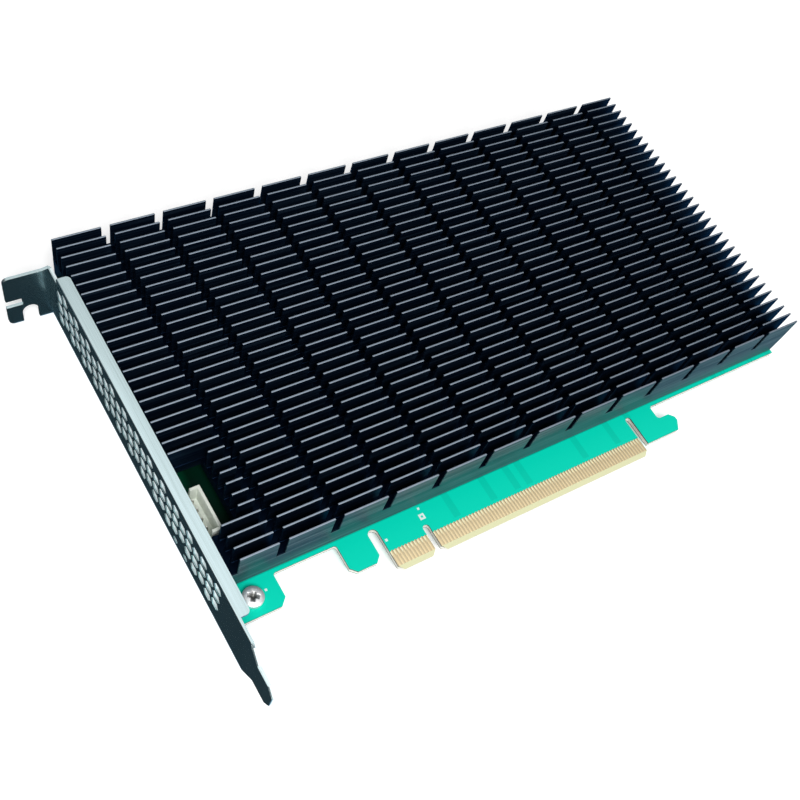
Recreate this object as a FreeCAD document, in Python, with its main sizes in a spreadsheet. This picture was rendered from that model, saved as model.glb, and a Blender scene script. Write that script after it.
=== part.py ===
"""Adapter card for four solid-state drives: a full-height x16 board under a cross-cut heatsink.

Frame, in millimetres: +X runs along the card away from the bracket, +Y away from the edge
connector, +Z out of the component side. The origin is the middle of the connector's key
notch, at the tab's lower edge, on the component face of the board. Screws and the holes and
bosses for them are twelve-sided, which keeps what repeats light.
"""
import FreeCAD, Part
import math
import os
import Sketcher

V = FreeCAD.Vector
doc = FreeCAD.newDocument("nvme_adapter_card")

# ---------------------------------------------------------------- driving dimensions

sheet = doc.addObject("Spreadsheet::Sheet", "Sizes")

SIZES = [
    # the board
    ("board_left", -55.6, "end of the board by the bracket"),
    ("board_right", 135.4, "far end of the board"),
    ("board_back", 111.15, "edge opposite the connector"),
    ("board_front", 12.65, "front edge of the main board area"),
    ("board_thick", 1.57, "standard card thickness"),
    ("foot_right", -41.1, "board foot that takes the bracket screw"),
    ("foot_front", 4.35, ""),
    ("foot_chamfer", 1.8, ""),
    ("stub_left", -23.6, "small guide tab left of the connector"),
    ("stub_right", -14.95, ""),
    ("stub_front", 4.25, ""),
    ("stub_chamfer", 1.6, ""),
    ("tab_left", -12.15, "connector tab, from the key notch"),
    ("tab_right", 72.15, ""),
    ("tab_chamfer", 1.3, ""),
    ("key_half", 0.95, "half the width of the key notch"),
    ("key_depth", 8.1, ""),
    ("slit_depth", 12.3, "top of the slit beside the latch hook"),
    ("bevel_height", 1.3, "lead-in bevel on both faces of the tab"),
    ("bevel_depth", 0.45, ""),
    ("hook_left", 74.05, "latch hook right of the connector"),
    ("hook_neck", 82.3, ""),
    ("hook_toe", 87.8, ""),
    ("hook_front", 2.9, ""),
    ("hook_back", 8.3, ""),
    ("hook_chamfer", 1.5, ""),
    # gold fingers
    ("pin_pitch", 1.0, "pitch of the fingers"),
    ("pin_width", 0.7, ""),
    ("pin_first", 1.5, "first finger each side of the key notch"),
    ("pin_low", 1.32, "fingers start just above the bevel"),
    ("pin_high", 5.75, ""),
    ("pin_thick", 0.04, ""),
    # heatsink
    ("sink_left", -53.5, ""),
    ("sink_right", 135.4, ""),
    ("sink_front", 13.85, ""),
    ("sink_back", 111.45, ""),
    ("sink_top", 13.46, ""),
    ("base_top", 6.6, "top of the plate that carries the fins"),
    ("ceiling", 3.65, "underside of that plate over the parts"),
    ("rim", 2.2, "wall that stands on the board"),
    ("fin_rows", 33, ""),
    ("fin_root", 0.8, ""),
    ("fin_tip", 0.5, ""),
    ("channel_first", -40.52, "left side of the first cross channel"),
    ("channel_width", 2.4, ""),
    ("channel_pitch", 14.654, ""),
    ("channels", 12, ""),
    ("notch_right", -44.85, "notch round the fan header"),
    ("notch_front", 24.3, ""),
    ("notch_back", 44.0, ""),
    ("step_right", -50.5, "fins cut back in front of the notch"),
    ("boss_radius", 3.5, "screw bosses in the hollow"),
    ("boss_bore", 1.5, ""),
    ("boss_depth", 5.6, ""),
    ("sink_screw_x", 29.5, "four screws at the corners of the drives"),
    ("sink_screw_step_x", 100.0, ""),
    ("sink_screw_y", 19.6, ""),
    ("sink_screw_step_y", 86.0, ""),
    ("sink_screw_left_x", -38.0, "two more by the bracket, front and back"),
    ("sink_screw_corner_x", -47.5, ""),
    # bracket
    ("steel", 0.86, "sheet thickness"),
    ("face_x", -57.42, "outer face of the bracket"),
    ("face_low", -4.18, "edge on the solder side"),
    ("face_high", 14.24, "edge on the component side"),
    ("ear_y", 104.555, "upper face of the screw ear"),
    ("ear_end", -68.85, "free end of the ear"),
    ("ear_high", 12.2, ""),
    ("ear_slot_low", 2.1, "open slot in the ear's end"),
    ("ear_slot_high", 4.4, ""),
    ("ear_slot_end", -64.7, ""),
    ("screw_notch_x", -63.0, "notch for the chassis screw"),
    ("screw_notch_z", -0.9, ""),
    ("screw_notch_radius", 2.1, ""),
    ("shoulder_y", -4.0, "where the plate narrows to the tongue"),
    ("tongue_y", -15.4, "tip of the tongue"),
    ("tongue_low", 0.0, ""),
    ("tongue_high", 10.1, ""),
    ("tongue_taper", 2.4, "corners taken off the tongue's tip"),
    ("bend_round", 0.5, "outside of the flange's bend"),
    ("ear_round", 1.2, "inside of the ear's bend"),
    ("corner_round", 1.1, "flange ends"),
    ("ear_corner", 1.5, ""),
    ("flange_x", -54.05, "inner edge of the folded flange"),
    ("flange_front", 2.1, ""),
    ("flange_back", 98.6, ""),
    ("vent_first", 10.8, "first column of vents"),
    ("vent_step", 3.46, "from one column to the next"),
    ("vent_rise", 4.2, "from one vent to the one above"),
    ("vent_low", 2.6, "lowest vent of an odd column"),
    ("vent_half_wide", 1.78, "half width, corner to corner"),
    ("vent_half_flat", 0.92, "half length of the flat sides"),
    ("vent_half_high", 1.68, ""),
    ("lamp_y", 25.4, "first of two round light windows"),
    ("lamp_step", 5.2, ""),
    ("lamp_z", -2.0, ""),
    ("lamp_radius", 1.0, ""),
    ("ledge_y", 4.7, "front side of the first fixing ledge"),
    ("ledge_wide", 8.6, ""),
    ("ledge_step", 87.5, ""),
    ("ledge_end", -44.4, ""),
    ("ledge_rise", 4.4, "where the ledge starts to climb, from the outer face"),
    ("ledge_climb", 1.8, "length of that slope"),
    # screws
    ("fix_x", -48.3, "bracket screws"),
    ("fix_y", 9.0, ""),
    ("fix_radius", 1.5, ""),
    ("fix_head", 2.65, ""),
    ("fix_head_high", 1.9, ""),
    ("fix_tip", 0.8, "screw standing out past the ledge"),
    ("sink_screw_short", 0.6, "free depth at the end of a boss bore"),
    ("clear_radius", 1.6, "clearance holes in the board"),
    # fan header
    ("fan_left", -54.2, ""),
    ("fan_wide", 5.75, ""),
    ("fan_front", 25.2, ""),
    ("fan_long", 12.4, ""),
    ("fan_high", 7.0, ""),
    ("fan_wall", 0.75, ""),
    ("fan_floor", 1.9, ""),
    ("fan_pin", 0.64, ""),
    ("fan_pin_pitch", 2.5, ""),
    ("fan_pin_tail", 3.3, "pins below the board's upper face"),
    ("fan_pin_top", 5.6, ""),
    ("fan_slot", 1.2, "width of the slots in the long wall"),
    ("fan_slot_inset", 1.9, "from the ends of that wall"),
    ("fan_slot_foot", 3.3, "bottom of the slots"),
    ("fan_hole", 0.8, "side of the board's holes for the pins"),
    # drive sockets in the hollow
    ("socket_x", 35.0, "back of the drive sockets"),
    ("socket_long", 8.8, ""),
    ("socket_wide", 22.0, ""),
    ("socket_high", 3.2, ""),
    ("socket_back", 3.4, "from the socket's back to the end of its slot"),
    ("socket_lip", 1.3, "height of the lip under the drive"),
    ("socket_mouth", 2.3, "top of the slot"),
    ("socket_roof", 7.0, "length of the roof over the slot"),
    ("socket_bevel", 0.6, ""),
    ("socket_cheek", 0.9, "ends of the slot"),
    ("socket_cheek_back", 4.8, ""),
    ("bay_y", 28.1, "middle of the first drive bay"),
    ("bay_pitch", 23.0, ""),
    ("standoff_x", 121.6, ""),
    ("standoff_high", 1.45, ""),
    ("standoff_radius", 2.4, "to the corners of its six sides"),
    ("standoff_bore", 1.0, ""),
    ("drive_head", 1.9, "radius of the drive screws' heads"),
    ("drive_head_high", 1.2, ""),
    ("pad_thick", 0.5, ""),
    ("pad_long", 70.0, ""),
    ("pad_wide", 18.0, ""),
    ("pad_gap", 2.0, "from the socket to the pad"),
    # bridge chip in the hollow
    ("chip_x", 5.0, ""),
    ("chip_y", 62.0, ""),
    ("chip_side", 27.0, ""),
    ("chip_thick", 0.9, ""),
    ("lid_side", 22.0, ""),
    ("lid_thick", 1.3, ""),
    # power supply parts, in a row behind the bridge chip
    ("choke_left", -34.0, ""),
    ("choke_front", 76.0, ""),
    ("choke_side", 6.6, ""),
    ("choke_high", 3.0, ""),
    ("choke_corner", 0.9, ""),
    ("power_step", 10.0, ""),
    ("regulator_left", -24.0, ""),
    ("regulator_side", 5.0, ""),
    ("regulator_high", 0.9, ""),
    # status lamps under the board
    ("led_deep", 1.2, ""),
    ("led_wide", 2.0, ""),
    ("led_high", 0.9, ""),
]

for row, (alias, number, note) in enumerate(SIZES, start=1):
    sheet.set("A%d" % row, alias)
    sheet.set("B%d" % row, str(number))
    sheet.set("C%d" % row, note)
    sheet.setAlias("B%d" % row, alias)
doc.recompute()


def size(alias):
    """The number in the sheet's cell of that name."""
    return float(sheet.get(alias))


def bind(thing, **expressions):
    """Tie properties of an object to the sheet; double underscores stand for dots."""
    for name, text in expressions.items():
        thing.setExpression(name.replace("__", "."), text)


# ---------------------------------------------------------------- sketch and feature helpers

ROUND_SIDES = 12
ROUND_ANGLES = [2 * math.pi * k / ROUND_SIDES for k in range(ROUND_SIDES)]
BASE_PLANES = {"XY": "XY_Plane", "XZ": "XZ_Plane", "YZ": "YZ_Plane"}


def new_body(label):
    body = doc.addObject("PartDesign::Body", label)
    body.Label = label
    return body


def new_sketch(body, plane, name, offset=None):
    """A sketch on one of the body's origin planes, moved out along its normal by an expression."""
    role = BASE_PLANES[plane]
    support = [f for f in body.Origin.OriginFeatures if f.Role == role][0]
    sketch = body.newObject("Sketcher::SketchObject", name)
    sketch.AttachmentSupport = (support, "")
    sketch.MapMode = "FlatFace"
    if offset:
        sketch.setExpression("AttachmentOffset.Base.z", offset)
    return sketch


def place_point(sketch, geo, corner, u, w):
    """Fix a point by its two signed distances from the sketch's origin, as expressions."""
    for kind, text in (("DistanceX", u), ("DistanceY", w)):
        index = sketch.addConstraint(Sketcher.Constraint(kind, -1, 1, geo, corner, 1.0))
        sketch.setExpression("Constraints[%d]" % index, text)


def polygon(sketch, corners):
    """A closed outline of straight lines through corners given as pairs of expressions."""
    first = sketch.GeometryCount
    count = len(corners)
    for k in range(count):
        a = 2 * math.pi * k / count
        b = 2 * math.pi * (k + 1) / count
        start = V(20 * math.cos(a), 20 * math.sin(a), 0)
        end = V(20 * math.cos(b), 20 * math.sin(b), 0)
        sketch.addGeometry(Part.LineSegment(start, end), False)
    for k in range(count):
        after = first + (k + 1) % count
        sketch.addConstraint(Sketcher.Constraint("Coincident", first + k, 2, after, 1))
    for k, (u, w) in enumerate(corners):
        place_point(sketch, first + k, 1, u, w)


def rectangle(sketch, u0, w0, u1, w1):
    polygon(sketch, [(u0, w0), (u1, w0), (u1, w1), (u0, w1)])


def square(sketch, u, w, half):
    """A square given by its middle and half its side, all as expressions."""
    rectangle(sketch, "%s - %s" % (u, half), "%s - %s" % (w, half),
              "%s + %s" % (u, half), "%s + %s" % (w, half))


def circle(sketch, u, w, radius):
    geo = sketch.addGeometry(Part.Circle(V(1, 1, 0), V(0, 0, 1), 1.0), False)
    place_point(sketch, geo, 3, u, w)
    index = sketch.addConstraint(Sketcher.Constraint("Radius", geo, 1.0))
    sketch.setExpression("Constraints[%d]" % index, radius)


def small_round(sketch, x, y, radius):
    """A small round hole or boss as a twelve-sided outline; the radius is an expression."""
    corners = []
    for angle in ROUND_ANGLES:
        corners.append(("%g + %.4f * (%s)" % (x, math.cos(angle), radius),
                        "%g + %.4f * (%s)" % (y, math.sin(angle), radius)))
    polygon(sketch, corners)


def pad(body, sketch, name, length, reverse=False):
    feature = body.newObject("PartDesign::Pad", name)
    feature.Profile = sketch
    feature.Reversed = reverse
    feature.setExpression("Length", length)
    doc.recompute()
    return feature


def pocket(body, sketch, name, depth=None, reverse=False, refine=True):
    """Cut along the sketch's normal; with no depth it goes right through, both ways."""
    before = body.Shape.Volume
    feature = body.newObject("PartDesign::Pocket", name)
    feature.Profile = sketch
    feature.Reversed = reverse
    feature.Refine = refine
    if depth is None:
        feature.Type = "ThroughAll"
        feature.Midplane = True
    else:
        feature.setExpression("Length", depth)
    doc.recompute()
    if not body.Shape.Volume < before - 1e-6:
        raise RuntimeError("pocket %s cuts nothing" % name)
    return feature


def pattern(body, feature, name, axis, length, occurrences, refine=True):
    """Repeat a feature along one of the body's axes."""
    line = [f for f in body.Origin.OriginFeatures if f.Role == axis + "_Axis"][0]
    repeat = body.newObject("PartDesign::LinearPattern", name)
    repeat.Originals = [feature]
    repeat.Direction = (line, [""])
    repeat.setExpression("Length", length)
    repeat.setExpression("Occurrences", occurrences)
    repeat.Refine = refine
    body.Tip = repeat
    doc.recompute()
    return repeat


def edges_at(feature, places, axis):
    """Names of the straight edges along an axis that pass through the given places."""
    names = []
    for number, edge in enumerate(feature.Shape.Edges, start=1):
        if not isinstance(edge.Curve, Part.Line):
            continue
        if abs(abs(edge.tangentAt(edge.FirstParameter).dot(axis)) - 1) > 1e-6:
            continue
        middle = edge.CenterOfMass
        for place in places:
            gap = middle - place
            if (gap - axis * gap.dot(axis)).Length < 1e-3:
                names.append("Edge%d" % number)
    if len(names) < len(places):
        raise RuntimeError("%s: %d of %d edges found" % (feature.Name, len(names), len(places)))
    return names


def fillet(body, name, places, axis, radius):
    base = body.Tip
    feature = body.newObject("PartDesign::Fillet", name)
    feature.Base = (base, edges_at(base, places, axis))
    feature.setExpression("Radius", radius)
    doc.recompute()
    return feature


def group_of(label, solids):
    """Several loose solids of one kind under one name, such as a set of equal screws."""
    thing = doc.addObject("Part::Feature", label)
    thing.Label = label
    thing.Shape = Part.makeCompound(solids)
    return thing


def s(text):
    """Short form: every bare word that is a cell's alias becomes Sizes.word."""
    words = []
    for word in text.split():
        known = word.strip("()")
        words.append(word.replace(known, "Sizes." + known) if known in ALIASES else word)
    return " ".join(words)


ALIASES = {alias for alias, _, _ in SIZES}

# ---------------------------------------------------------------- places worked out once

BAYS = [size("bay_y") + k * size("bay_pitch") for k in range(4)]

# heatsink screws: four round the drives, and two more near the bracket
SINK_ROWS = [size("sink_screw_y") + k * size("sink_screw_step_y") for k in range(2)]
SINK_SCREWS = [(size("sink_screw_x") + k * size("sink_screw_step_x"), y)
               for k in range(2) for y in SINK_ROWS]
SINK_SCREWS += [(size("sink_screw_left_x"), SINK_ROWS[0]),
                (size("sink_screw_corner_x"), SINK_ROWS[1])]

BRACKET_SCREWS = [(size("fix_x"), size("fix_y") + k * size("ledge_step")) for k in (0, 1)]


# ---------------------------------------------------------------- printed circuit board


def make_board():
    body = new_body("pcb")
    outline = new_sketch(body, "XY", "BoardOutline", s("0 - board_thick"))
    corners = [
        ("board_left", "board_back"), ("board_left", "foot_front"),
        ("foot_right - foot_chamfer", "foot_front"), ("foot_right", "foot_front + foot_chamfer"),
        ("foot_right", "board_front"), ("stub_left", "board_front"),
        ("stub_left", "stub_front + stub_chamfer"), ("stub_left + stub_chamfer", "stub_front"),
        ("stub_right - stub_chamfer", "stub_front"), ("stub_right", "stub_front + stub_chamfer"),
        ("stub_right", "board_front"), ("tab_left", "board_front"),
        ("tab_left", "tab_chamfer"), ("tab_left + tab_chamfer", "0"),
        ("0 - key_half - tab_chamfer", "0"), ("0 - key_half", "tab_chamfer"),
        ("0 - key_half", "key_depth"), ("key_half", "key_depth"),
        ("key_half", "tab_chamfer"), ("key_half + tab_chamfer", "0"),
        ("tab_right - tab_chamfer", "0"), ("tab_right", "tab_chamfer"),
        ("tab_right", "slit_depth"), ("hook_left", "slit_depth"),
        ("hook_left", "hook_front"), ("hook_toe - 1.2 * hook_chamfer", "hook_front"),
        ("hook_toe", "hook_front + 1.8 * hook_chamfer"), ("hook_toe", "hook_back - hook_chamfer"),
        ("hook_toe - hook_chamfer", "hook_back"), ("hook_neck", "hook_back"),
        ("hook_neck", "board_front"), ("board_right", "board_front"),
        ("board_right", "board_back"),
    ]
    polygon(outline, [(s(u), s(w)) for u, w in corners])
    pad(body, outline, "BoardPad", s("board_thick"))

    up = V(0, 0, 1)
    fillet(body, "KeyRound", [V(k * size("key_half"), size("key_depth"), 0) for k in (-1, 1)],
           up, s("key_half - 0.01"))
    fillet(body, "SlitRound", [V(size(a), size("slit_depth"), 0) for a in ("tab_right", "hook_left")],
           up, s("0.5 * (hook_left - tab_right) - 0.01"))
    fillet(body, "GapRound", [V(size(a), size("board_front"), 0) for a in ("stub_right", "tab_left")],
           up, s("0.5 * (tab_left - stub_right) - 0.01"))
    fillet(body, "HookRound", [V(size("hook_neck"), size(a), 0) for a in ("hook_back", "board_front")],
           up, "1")
    fillet(body, "InnerCorners",
           [V(size(a), size("board_front"), 0) for a in ("foot_right", "stub_left")], up, "0.8")

    # lead-in bevels: a long triangle taken off each face of the connector tab
    bevels = new_sketch(body, "YZ", "Bevels", s("tab_left - 1"))
    for face, inward in (("0", "0 - bevel_depth"), ("0 - board_thick", "bevel_depth - board_thick")):
        polygon(bevels, [("0", s(face)), (s("bevel_height"), s(face)), ("0", s(inward))])
    pocket(body, bevels, "BevelCut", s("tab_right - tab_left + 2"), reverse=True)

    holes = new_sketch(body, "XY", "BoardHoles")
    for x, y in SINK_SCREWS + BRACKET_SCREWS:
        small_round(holes, x, y, s("clear_radius"))
    for k in range(4):
        square(holes, s("fan_left + 0.5 * fan_wide"), fan_pin_y(k), s("0.5 * fan_hole"))
    pocket(body, holes, "HoleCut")
    return body


def fan_pin_y(k):
    """Place of the fan header's pin number k along Y, as an expression."""
    return s("fan_front + 0.5 * fan_long") + " + %g * Sizes.fan_pin_pitch" % (k - 1.5)


def make_contacts():
    """Gold fingers: 11 before the key notch and 71 after it, on both faces of the tab."""
    middles = [-size("pin_first") - k * size("pin_pitch") for k in range(11)]
    middles += [size("pin_first") + k * size("pin_pitch") for k in range(71)]
    low, high, thick = size("pin_low"), size("pin_high"), size("pin_thick")
    for label, z in (("edge_contacts_top", 0.0),
                     ("edge_contacts_bottom", -size("board_thick") - thick)):
        fingers = [Part.makeBox(size("pin_width"), high - low, thick,
                                V(x - size("pin_width") / 2, low, z)) for x in middles]
        group_of(label, fingers)


# ---------------------------------------------------------------- heatsink


def make_heatsink():
    """A wide fin extrusion, sawn across, with a hollow milled into its underside."""
    body = new_body("heatsink")
    block = new_sketch(body, "XY", "BasePlan")
    rectangle(block, s("sink_left"), s("sink_front"), s("sink_right"), s("sink_back"))
    pad(body, block, "Base", s("base_top"))

    # hollow over the board's parts, with round bosses left standing for the screws
    hollow = new_sketch(body, "XY", "HollowPlan")
    rectangle(hollow, s("sink_left + rim"), s("sink_front + rim"),
              s("sink_right - rim"), s("sink_back - rim"))
    for x, y in SINK_SCREWS:
        small_round(hollow, x, y, s("boss_radius"))
    pocket(body, hollow, "Hollow", s("ceiling"), reverse=True)
    bores = new_sketch(body, "XY", "BorePlan")
    for x, y in SINK_SCREWS:
        small_round(bores, x, y, s("boss_bore"))
    pocket(body, bores, "Bores", s("boss_depth"), reverse=True)

    # one fin, slightly tapered, along the whole length, then its copies towards the back
    fin = new_sketch(body, "YZ", "FinProfile", s("sink_left"))
    middle = "sink_front + 0.5 * fin_root"
    polygon(fin, [
        (s("sink_front"), s("base_top - 0.2")), (s("sink_front + fin_root"), s("base_top - 0.2")),
        (s("sink_front + fin_root"), s("base_top")), (s(middle + " + 0.5 * fin_tip"), s("sink_top")),
        (s(middle + " - 0.5 * fin_tip"), s("sink_top")), (s("sink_front"), s("base_top"))])
    first_fin = pad(body, fin, "FirstFin", s("sink_right - sink_left"))
    pattern(body, first_fin, "FinRows", "Y", s("sink_back - sink_front - fin_root"), s("fin_rows"))

    # the notch round the fan header goes right through; in front of it only the fins step back
    notch = new_sketch(body, "XY", "NotchPlan")
    rectangle(notch, s("sink_left - 1"), s("notch_front"), s("notch_right"), s("notch_back"))
    pocket(body, notch, "HeaderNotch", refine=False)
    step = new_sketch(body, "XY", "StepPlan", s("sink_top"))
    rectangle(step, s("sink_left - 1"), s("sink_front - 1"), s("step_right"), s("notch_front + 1"))
    pocket(body, step, "FinStep", s("sink_top - base_top"), refine=False)

    # cross channels, sawn down to the base
    slot = new_sketch(body, "XY", "ChannelPlan", s("sink_top"))
    rectangle(slot, s("channel_first"), s("sink_front - 1"),
              s("channel_first + channel_width"), s("sink_back + 1"))
    first_channel = pocket(body, slot, "FirstChannel", s("sink_top - base_top"), refine=False)
    pattern(body, first_channel, "Channels", "X",
            s("channel_pitch * ( channels - 1 )"), s("channels"), refine=False)
    return body


# ---------------------------------------------------------------- bracket


def make_bracket():
    """Folded steel sheet: plate with tongue, flange along its upper edge, ear and two ledges."""
    body = new_body("bracket")
    along_y, along_z = V(0, 1, 0), V(0, 0, 1)

    plate = new_sketch(body, "YZ", "PlateOutline", s("face_x"))
    drop = "( face_high - tongue_high )"
    corners = [
        ("ear_y", "face_low"), ("shoulder_y", "face_low"),
        ("shoulder_y - ( tongue_low - face_low )", "tongue_low"),
        ("tongue_y + 0.7 * tongue_taper", "tongue_low"), ("tongue_y", "tongue_low + tongue_taper"),
        ("tongue_y", "tongue_high - tongue_taper"), ("tongue_y + tongue_taper", "tongue_high"),
        ("shoulder_y - " + drop, "tongue_high"), ("shoulder_y", "face_high"),
        ("flange_back", "face_high"), ("flange_back", "ear_high + 0.5"),
        ("ear_y", "ear_high + 0.5"),
    ]
    polygon(plate, [(s(u), s(w)) for u, w in corners])
    pad(body, plate, "Plate", s("steel"))

    flange = new_sketch(body, "XY", "FlangePlan", s("face_high - steel"))
    rectangle(flange, s("face_x"), s("flange_front"), s("flange_x"), s("flange_back"))
    pad(body, flange, "Flange", s("steel"))

    # the ear lies square to the plate; its sketch's normal points to -Y
    ear = new_sketch(body, "XZ", "EarPlan", s("0 - ear_y"))
    polygon(ear, [(s(u), s(w)) for u, w in [
        ("face_x + steel", "face_low"), ("face_x + steel", "ear_high + 0.5"),
        ("face_x - 1.5", "ear_high"),
        ("ear_end", "ear_high"), ("ear_end", "ear_slot_high"), ("ear_slot_end", "ear_slot_high"),
        ("ear_slot_end", "ear_slot_low"), ("ear_end", "ear_slot_low"), ("ear_end", "face_low")]])
    pad(body, ear, "Ear", s("steel"))

    # chassis screw notch, open to the solder side
    screw = new_sketch(body, "XZ", "ScrewNotchPlan", s("0 - ear_y"))
    circle(screw, s("screw_notch_x"), s("screw_notch_z"), s("screw_notch_radius"))
    pocket(body, screw, "ScrewNotchRound", s("steel"), reverse=True)
    mouth = new_sketch(body, "XZ", "ScrewMouthPlan", s("0 - ear_y"))
    rectangle(mouth, s("screw_notch_x - screw_notch_radius"), s("face_low - 1"),
              s("screw_notch_x + screw_notch_radius"), s("screw_notch_z"))
    pocket(body, mouth, "ScrewMouth", s("steel"), reverse=True)

    # two ledges under the board, folded in from the lower edge and set up to the board's face
    ledge = new_sketch(body, "XZ", "LedgeProfile", s("0 - ledge_y"))
    polygon(ledge, [(s(u), s(w)) for u, w in [
        ("face_x + 0.5 * steel", "face_low"), ("face_x + ledge_rise", "face_low"),
        ("face_x + ledge_rise + ledge_climb", "0 - board_thick - steel"),
        ("ledge_end", "0 - board_thick - steel"), ("ledge_end", "0 - board_thick"),
        ("face_x + ledge_rise + ledge_climb - 0.4 * steel", "0 - board_thick"),
        ("face_x + ledge_rise - 0.4 * steel", "face_low + steel"),
        ("face_x + 0.5 * steel", "face_low + steel")]])
    first_ledge = pad(body, ledge, "FirstLedge", s("ledge_wide"), reverse=True)
    pattern(body, first_ledge, "Ledges", "Y", s("ledge_step"), "2")

    tapped = new_sketch(body, "XY", "TappedHoles", s("0 - board_thick"))
    for x, y in BRACKET_SCREWS:
        small_round(tapped, x, y, s("fix_radius"))
    pocket(body, tapped, "TappedCut", s("steel"))

    # bends and rounded corners
    face, ear_y, high = size("face_x"), size("ear_y"), size("face_high")
    fillet(body, "FlangeBend", [V(face, 0, high)], along_y, s("bend_round"))
    fillet(body, "EarBend", [V(face + size("steel"), ear_y, 0)], along_z, s("ear_round"))
    fillet(body, "FlangeCorners",
           [V(size("flange_x"), size(a), 0) for a in ("flange_front", "flange_back")],
           along_z, s("corner_round"))
    fillet(body, "EarCorners", [V(size("ear_end"), 0, size(a)) for a in ("face_low", "ear_high")],
           along_y, s("ear_corner"))

    # honeycomb vents: pairs of columns, half a step apart in height, in one repeat of two columns
    vents = new_sketch(body, "YZ", "VentPlan", s("face_x - 1"))
    rises = [(0, 0.0), (0, 1.0), (0, 2.0), (1, 0.5), (1, 1.5)]
    for column, rise in rises:
        hexagon(vents, column, rise)
    first_vents = pocket(body, vents, "FirstVents", s("steel + 2"), reverse=True, refine=False)
    pattern(body, first_vents, "Vents", "Y", s("24 * vent_step"), "13", refine=False)

    # the lowest vent of the even columns leaves out the third one, above the light windows
    for name, column, count in (("A", 1, 2), ("B", 7, 10)):
        low = new_sketch(body, "YZ", "LowVent" + name, s("face_x - 1"))
        hexagon(low, column, -0.5)
        cut = pocket(body, low, "LowVentCut" + name, s("steel + 2"), reverse=True, refine=False)
        pattern(body, cut, "LowVents" + name, "Y", "%d * Sizes.vent_step" % (2 * (count - 1)),
                str(count), refine=False)

    lamps = new_sketch(body, "YZ", "LampWindows", s("face_x - 1"))
    circle(lamps, s("lamp_y"), s("lamp_z"), s("lamp_radius"))
    circle(lamps, s("lamp_y + lamp_step"), s("lamp_z"), s("lamp_radius"))
    pocket(body, lamps, "LampCut", s("steel + 2"), reverse=True, refine=False)
    return body


def hexagon(sketch, column, rise):
    """A six-sided vent with level top and bottom, in a numbered column of the honeycomb."""
    y = "Sizes.vent_first + %d * Sizes.vent_step" % column
    z = "Sizes.vent_low + %g * Sizes.vent_rise" % rise
    ring = [(1, 0), (0.5, 1), (-0.5, 1), (-1, 0), (-0.5, -1), (0.5, -1)]
    corners = []
    for across, up in ring:
        half = "Sizes.vent_half_wide" if abs(across) == 1 else "Sizes.vent_half_flat"
        sign = "+" if across > 0 else "-"
        corners.append(("%s %s %s" % (y, sign, half), "%s + %d * Sizes.vent_half_high" % (z, up)))
    polygon(sketch, corners)


# ---------------------------------------------------------------- screws


def ring(radius, z, angles):
    """Corners of a many-sided ring round the Z axis at one height."""
    return [V(radius * math.cos(angle), radius * math.sin(angle), z) for angle in angles]


def prism(radius, long, angles=ROUND_ANGLES):
    """An upright many-sided bar standing on the XY plane."""
    corners = ring(radius, 0, angles)
    return Part.Face(Part.makePolygon(corners + corners[:1])).extrude(V(0, 0, long))


def screw_solid(x, y, seat, head_radius, head_high, shank_radius, shank_long, up):
    """Shank, and a head with a sloped shoulder; up is +1 with the head on top."""
    rim, crown = 0.6 * head_high, 0.6 * head_radius
    levels = [ring(head_radius, 0, ROUND_ANGLES), ring(head_radius, rim, ROUND_ANGLES),
              ring(crown, head_high, ROUND_ANGLES)]
    outlines = [levels[0], levels[-1]]
    for lower, upper in zip(levels, levels[1:]):
        for k in range(ROUND_SIDES):
            outlines.append([lower[k - 1], lower[k], upper[k], upper[k - 1]])
    faces = [Part.Face(Part.makePolygon(corners + corners[:1])) for corners in outlines]
    solid = Part.makeSolid(Part.makeShell(faces))
    shank = prism(shank_radius, shank_long)
    shank.translate(V(0, 0, -shank_long))
    solid = solid.fuse(shank).removeSplitter().Solids[0]
    if up < 0:
        solid.rotate(V(0, 0, 0), V(1, 0, 0), 180)
    solid.translate(V(x, y, seat))
    return solid


def make_screws():
    thick = size("board_thick")
    group_of("bracket_screws", [
        screw_solid(x, y, 0.0, size("fix_head"), size("fix_head_high"), size("fix_radius"),
                    thick + size("steel") + size("fix_tip"), 1) for x, y in BRACKET_SCREWS])
    group_of("heatsink_screws", [
        screw_solid(x, y, -thick, size("fix_head"), size("fix_head_high"), size("boss_bore"),
                    thick + size("boss_depth") - size("sink_screw_short"), -1) for x, y in SINK_SCREWS])


# ---------------------------------------------------------------- fan header


def make_fan_header():
    """Upright plug housing, open on top, with a polarising slot in its outer wall."""
    body = new_body("fan_header_housing")
    plan = new_sketch(body, "XY", "HousingPlan")
    rectangle(plan, s("fan_left"), s("fan_front"), s("fan_left + fan_wide"), s("fan_front + fan_long"))
    pad(body, plan, "Housing", s("fan_high"))
    well = new_sketch(body, "XY", "WellPlan", s("fan_high"))
    rectangle(well, s("fan_left + fan_wall"), s("fan_front + fan_wall"),
              s("fan_left + fan_wide - fan_wall"), s("fan_front + fan_long - fan_wall"))
    pocket(body, well, "Well", s("fan_high - fan_floor"))
    slots = new_sketch(body, "XY", "SlotPlan", s("fan_high"))
    for start in ("fan_front + fan_slot_inset", "fan_front + fan_long - fan_slot_inset - fan_slot"):
        rectangle(slots, s("fan_left - 1"), s(start),
                  s("fan_left + fan_wall + 0.1"), s(start + " + fan_slot"))
    for low, high in (("fan_front - 1", "fan_front + fan_wall + 0.1"),
                      ("fan_front + fan_long - fan_wall - 0.1", "fan_front + fan_long + 1")):
        rectangle(slots, s("fan_left + fan_slot_inset"), s(low),
                  s("fan_left + fan_slot_inset + fan_slot"), s(high))
    pocket(body, slots, "WallSlots", s("fan_high - fan_slot_foot"))
    pins = new_sketch(body, "XY", "PinHoles")
    for k in range(4):
        square(pins, s("fan_left + 0.5 * fan_wide"), fan_pin_y(k), s("0.5 * fan_pin"))
    pocket(body, pins, "PinHoleCut")
    return body


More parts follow.
